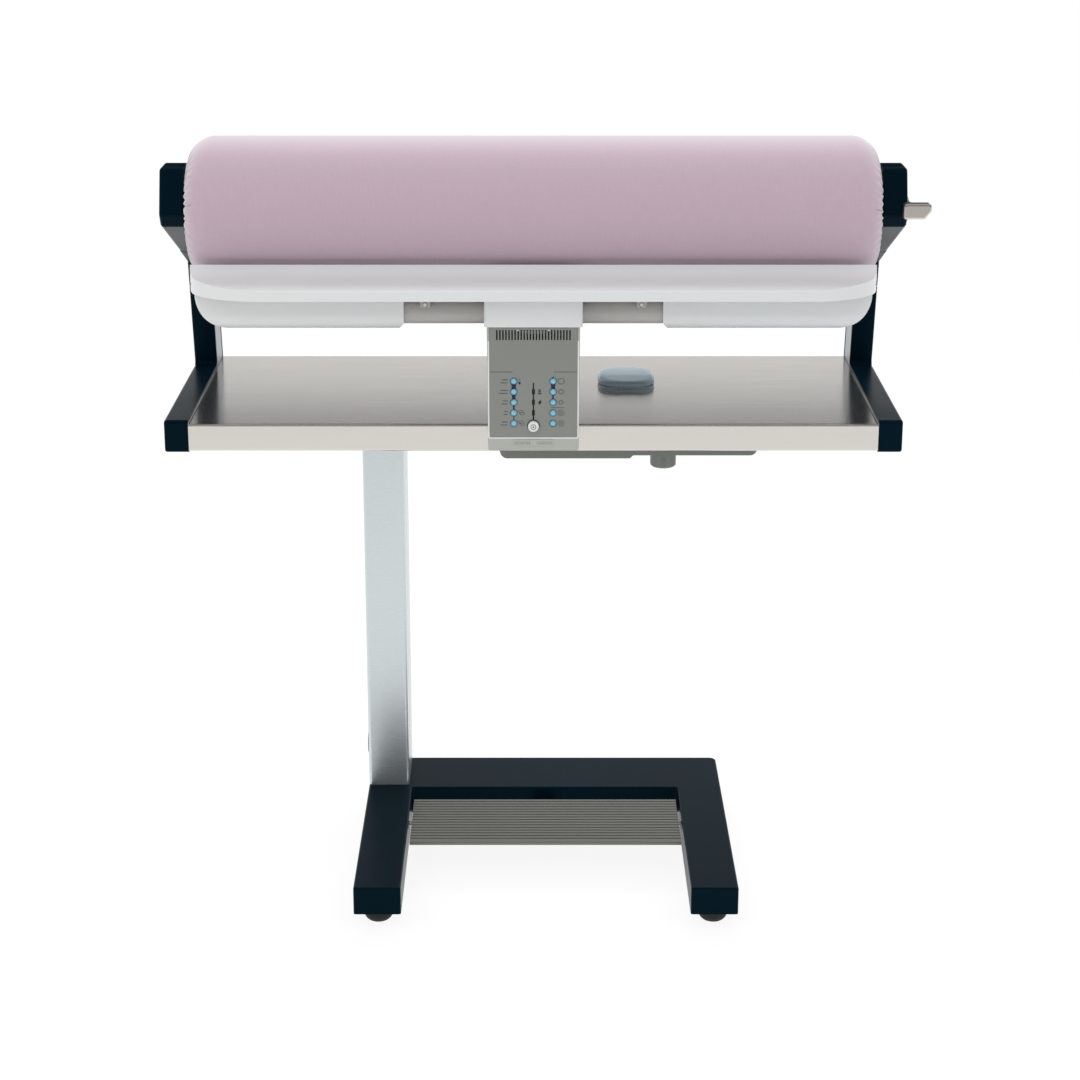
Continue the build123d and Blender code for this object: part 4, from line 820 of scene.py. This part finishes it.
SYMBOL_X = 33.4
soft_symbols, dark_symbols = [], []
for row, reach in enumerate((8.5, 10.6, 7.5, 5.0, 9.0)):  # two plain dashes beside each left button
    z = BUTTON_Z - row * BUTTON_PITCH
    soft_symbols += [box_shape(-31 - reach * 0.8, -31, z + 1.2, z + 2.3),
                     box_shape(-31 - reach, -31.4, z - 2.6, z - 1.5)]
for row, size in ((0, 4.3), (1, 3.2), (2, 2.7)):  # hexagons, smaller from row to row
    z = BUTTON_Z - row * BUTTON_PITCH
    corners = [(SYMBOL_X + size * math.cos(math.radians(60 * k)),
                z + size * 0.9 * math.sin(math.radians(60 * k))) for k in range(6)]
    soft_symbols += outline_bars(corners, 0.8)
for row in (3, 4):
    z = BUTTON_Z - row * BUTTON_PITCH
    soft_symbols += ring_shapes(SYMBOL_X, z, 3.9, 3.2, 20) + ring_shapes(SYMBOL_X, z, 1.7, 1.0, 12)
    slanted = [(-18.4, z + 2.6), (-13.2, z + 3.2), (-10.8, z - 1.6), (-14.4, z - 3.2)]
    soft_symbols += outline_bars(slanted, 0.6) + outline_bars([(-17.4, z - 0.4), (-12.4, z + 0.6)], 0.5)
dark_symbols += ring_shapes(-16.8, 724.0, 1.5, 0.1, 14)
soft_symbols += outline_bars([(-17.5, 725.6), (-16.1, 725.6), (-16.1, 730.2), (-17.5, 730.2)], 0.4)
for k in range(3):
    dark_symbols.append(box_shape(5.6, 9.8 - 0.5 * k, 710.2 + 2.3 * k, 711.6 + 2.3 * k))
dark_symbols += [[(5.8, 698.4), (8.2, 697.4), (9.8, 700.6), (8.6, 702.9), (6.4, 701.4)]]
lay_flat_shapes("soft_symbols", soft_symbols, grey_ink_and_painted_shade)
lay_flat_shapes("dark_symbols", dark_symbols, ink_blue)

# %% Painted shadow ring round the slider's knob
# A black ring round the knob on the fascia, a painted shadow of the knob.
knob_painted_shadow = ring_shapes(0, 670.7, 7.7, 6.6, 28)
lay_flat_shapes("slider_painted_shadow", knob_painted_shadow, black_ink_and_painted_shadow)
knob_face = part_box("slider_knob")[0][1] * 1000 + ORIGIN_Y
knob_middle = sum(corner[2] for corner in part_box("slider_knob")) * 500
# A grey ring on the knob's face, painted shade of its concentric groove, and a small grey dot in the middle.
knob_groove_shade_marks = ring_shapes(0, knob_middle, 3.3, 2.6, 24) + ring_shapes(0, knob_middle, 1.1, 0.1, 12)
lay_flat_shapes("knob_groove_shade", knob_groove_shade_marks, grey_ink_and_painted_shade, face_y=knob_face, body="slider")
print("knob face at", round(knob_face, 2), "middle", round(knob_middle, 2))
print("console prints:", len(wedges), len(lines), len(marks), len(soft_symbols) + len(dark_symbols))

# %% [markdown]
# ## Painted highlight round the fascia
#
# The housing's rounded front edge catches the light as a thin white line at the panel's sides and foot.
# That line is painted: a thin white strip lies along the edge as a painted highlight. It could be part of
# the housing's material, chosen by position, but a strip with its own thickness catches the light on its
# edge, so it is a short, mitred profile with a rounded front.

# %% Painted highlight strip
LIT_EDGE_OUT, LIT_EDGE_IN, LIT_EDGE_FOOT, LIT_EDGE_TOP = 54.9, 53.15, 654.2, 776.5


def lit_edge_strip():
    path_out = [(-LIT_EDGE_OUT, LIT_EDGE_TOP), (-LIT_EDGE_OUT, LIT_EDGE_FOOT + 1.6), (-LIT_EDGE_OUT + 1.6, LIT_EDGE_FOOT),
                (LIT_EDGE_OUT - 1.6, LIT_EDGE_FOOT), (LIT_EDGE_OUT, LIT_EDGE_FOOT + 1.6), (LIT_EDGE_OUT, LIT_EDGE_TOP)]
    foot = LIT_EDGE_FOOT + (LIT_EDGE_OUT - LIT_EDGE_IN)
    path_in = [(-LIT_EDGE_IN, LIT_EDGE_TOP), (-LIT_EDGE_IN, foot + 1.0), (-LIT_EDGE_IN + 1.0, foot),
               (LIT_EDGE_IN - 1.0, foot), (LIT_EDGE_IN, foot + 1.0), (LIT_EDGE_IN, LIT_EDGE_TOP)]
    mesh = bmesh.new()
    rows = []
    section = ((0.0, -43.9), (0.0, -44.35), (0.22, -44.6), (0.78, -44.6), (1.0, -44.35), (1.0, -43.9))
    for share, y in section:
        rows.append([mesh.verts.new(at(xo + (xi - xo) * share, y, zo + (zi - zo) * share))
                     for (xo, zo), (xi, zi) in zip(path_out, path_in)])
    rows.append(rows[0])
    for near, far in zip(rows, rows[1:]):
        for i in range(len(path_out) - 1):
            mesh.faces.new((near[i], near[i + 1], far[i + 1], far[i]))
    for end in (0, -1):
        mesh.faces.new([row[end] for row in rows[:-1]])
    return to_object(mesh, "fascia_edge_highlight", white_abs)


# A white strip along the panel's sides and foot, a painted highlight of the housing's rounded edge.
fascia_edge_highlight = lit_edge_strip()
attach(fascia_edge_highlight, "stand")
print("edge highlight faces:", len(fascia_edge_highlight.data.polygons))

# %% [markdown]
# ## Studio
#
# The machine stands in a white studio. Its surroundings do three jobs, and each kind of ray can be given
# its own answer. Rays that light dull surfaces meet a soft dome, brighter overhead. Rays that reach the
# camera meet plain white, so the background is white without pouring more light on the machine. Rays that
# bounce off metal and gloss meet the room as such a studio has it: a white backdrop low behind the machine,
# a softbox overhead and a dark room on the camera's side. That is what makes polished and painted edges
# read. Behind the machine hangs a black flag, a cloth that photographers use to shade a reflection: the
# front of the shelf mirrors it and turns darker there, while the rear mirrors the backdrop below it.

# %% World
world = bpy.data.worlds.new("soft studio")
bpy.context.scene.world = world
world.use_nodes = True
sky = world.node_tree
sky.nodes.clear()
ray = put(sky, "LightPath")
direction = put(sky, "SeparateXYZ", {0: put(sky, "TexCoord").outputs["Generated"]})
height = direction.outputs[2]
behind = put(sky, "MapRange", {0: direction.outputs[1], 1: -0.25, 2: 0.35})
low = put(sky, "MapRange", {0: height, 1: 0.30, 2: 0.52, 3: 1.0, 4: 0.0})
backdrop = put(sky, "Math", {0: behind.outputs[0], 1: low.outputs[0]}, operation="MULTIPLY")
ceiling = put(sky, "MapRange", {0: height, 1: 0.2, 2: 0.85, 3: 0.07, 4: 0.5})
room = put(sky, "Mix", {0: backdrop.outputs[0], 2: ceiling.outputs[0], 3: 1.0}, data_type="FLOAT")
softness = put(sky, "MapRange", {0: height, 1: 0.0, 2: 1.0, 3: 0.5, 4: 1.2})
dome = put(sky, "Background", {"Color": linear("#F6F7F8"), "Strength": softness.outputs[0]})
mirrored = put(sky, "Background", {"Color": linear("#FAFBFC"), "Strength": room.outputs[0]})
white = put(sky, "Background", {"Color": (1, 1, 1, 1), "Strength": 1.0})
lit = put(sky, "MixShader", {0: ray.outputs["Is Glossy Ray"], 1: dome.outputs[0], 2: mirrored.outputs[0]})
seen = put(sky, "Math", {0: ray.outputs["Is Camera Ray"], 1: ray.outputs["Is Transmission Ray"]},
           operation="MAXIMUM")
both = put(sky, "MixShader", {0: seen.outputs[0], 1: lit.outputs[0], 2: white.outputs[0]})
put(sky, "OutputWorld", {"Surface": both.outputs[0]})
print("world:", world.name)

# %% Floor
floor_mesh = bpy.data.meshes.new("studio_floor")
floor_mesh.from_pydata([(-14, -14, 0), (14, -14, 0), (14, 14, 0), (-14, 14, 0)], [], [(0, 1, 2, 3)])
floor = bpy.data.objects.new("studio_floor", floor_mesh)
bpy.context.scene.collection.objects.link(floor)
seamless, tree, shader = new_material("seamless white paper", Roughness=0.95, Specular_IOR_Level=0.1)
shader.inputs["Base Color"].default_value = linear("#F2F2F2")
ray = put(tree, "LightPath")
forward = put(tree, "SeparateXYZ", {0: put(tree, "TexCoord").outputs["Object"]})
paper = put(tree, "MapRange", {0: forward.outputs[1], 1: -7.0, 2: -4.0})  # the paper ends in front
bright = put(tree, "Math", {0: paper.outputs[0], 1: ray.outputs["Is Camera Ray"]}, operation="MAXIMUM")
level = put(tree, "Math", {0: bright.outputs[0], 1: 1.05}, operation="MULTIPLY")
glow = put(tree, "Emission", {"Color": (1, 1, 1, 1), "Strength": level.outputs[0]})
seen = put(tree, "Math", {0: ray.outputs["Is Camera Ray"], 1: ray.outputs["Is Glossy Ray"]},
           operation="MAXIMUM")
share = put(tree, "Math", {0: seen.outputs[0], 1: 0.85}, operation="MULTIPLY")
paper_seen = put(tree, "MixShader", {0: share.outputs[0], 1: shader.outputs[0], 2: glow.outputs[0]})
for node in tree.nodes:
    if node.type == "OUTPUT_MATERIAL":
        tree.links.new(paper_seen.outputs[0], node.inputs["Surface"])
floor_mesh.materials.append(seamless)
print("floor:", seamless.name)

# %% Black flag
flag_mesh = bpy.data.meshes.new("black_flag")
flag_corners = [at(-640, 760, 885), at(640, 760, 885), at(640, 760, 1400), at(-640, 760, 1400)]
flag_mesh.from_pydata(flag_corners, [], [(0, 1, 2, 3)])
flag = bpy.data.objects.new("black_flag", flag_mesh)
bpy.context.scene.collection.objects.link(flag)
flag.visible_camera = flag.visible_diffuse = flag.visible_shadow = False  # it shows in reflections only
velvet, tree, shader = new_material("black velvet", Roughness=1.0, Specular_IOR_Level=0.0)
where = put(tree, "TexCoord").outputs["Object"]
nap = put(tree, "TexNoise", {"Vector": where, "Scale": per_mm(3), "Detail": 1.0})
tone = blend(tree, nap, "#0A0A0A", "#161616")
finish(tree, shader, tone)
flag_mesh.materials.append(velvet)
print("flag:", velvet.name)


# %% Lamps
def area_lamp(name, place, aim, width, height, watts):
    """A soft lamp that lights dull surfaces; the room's reflections come from the world."""
    data = bpy.data.lights.new(name, "AREA")
    data.shape, data.size, data.size_y, data.energy = "RECTANGLE", width, height, watts
    lamp = bpy.data.objects.new(name, data)
    lamp.location = place
    lamp.rotation_euler = (Vector(aim) - Vector(place)).to_track_quat("-Z", "Y").to_euler()
    lamp.visible_glossy = False
    bpy.context.scene.collection.objects.link(lamp)
    print("lamp:", name, watts, "W")


area_lamp("front_softbox", (-0.7, -2.6, 2.2), (0, 0, 0.75), 2.4, 1.6, 10)
area_lamp("rear_softbox", (0.0, 1.5, 2.4), (0, 0, 0.9), 2.6, 1.0, 22)

# %% [markdown]
# ## Camera
#
# The machine was photographed straight on from above its roller, with upright lines kept parallel. The
# camera stands 2.7 m in front of the shelf and looks down by 16 degrees. A small shift brings the frame to
# where the photograph has it.

# %% Camera
CAMERA_AWAY, CAMERA_HIGH, CAMERA_DOWN = 2700, 1450, 15.97
lens = bpy.data.cameras.new("camera")
lens.lens, lens.sensor_width = 76.17, 36.0
lens.shift_x, lens.shift_y = 0.0061, -0.12
camera = bpy.data.objects.new("camera", lens)
camera.location = at(0, -CAMERA_AWAY, CAMERA_HIGH)
camera.rotation_euler = (math.radians(90 - CAMERA_DOWN), 0, 0)
bpy.context.scene.collection.objects.link(camera)
bpy.context.scene.camera = camera
bpy.context.scene.view_settings.view_transform = "Standard"
print("camera at", tuple(round(v, 3) for v in camera.location))
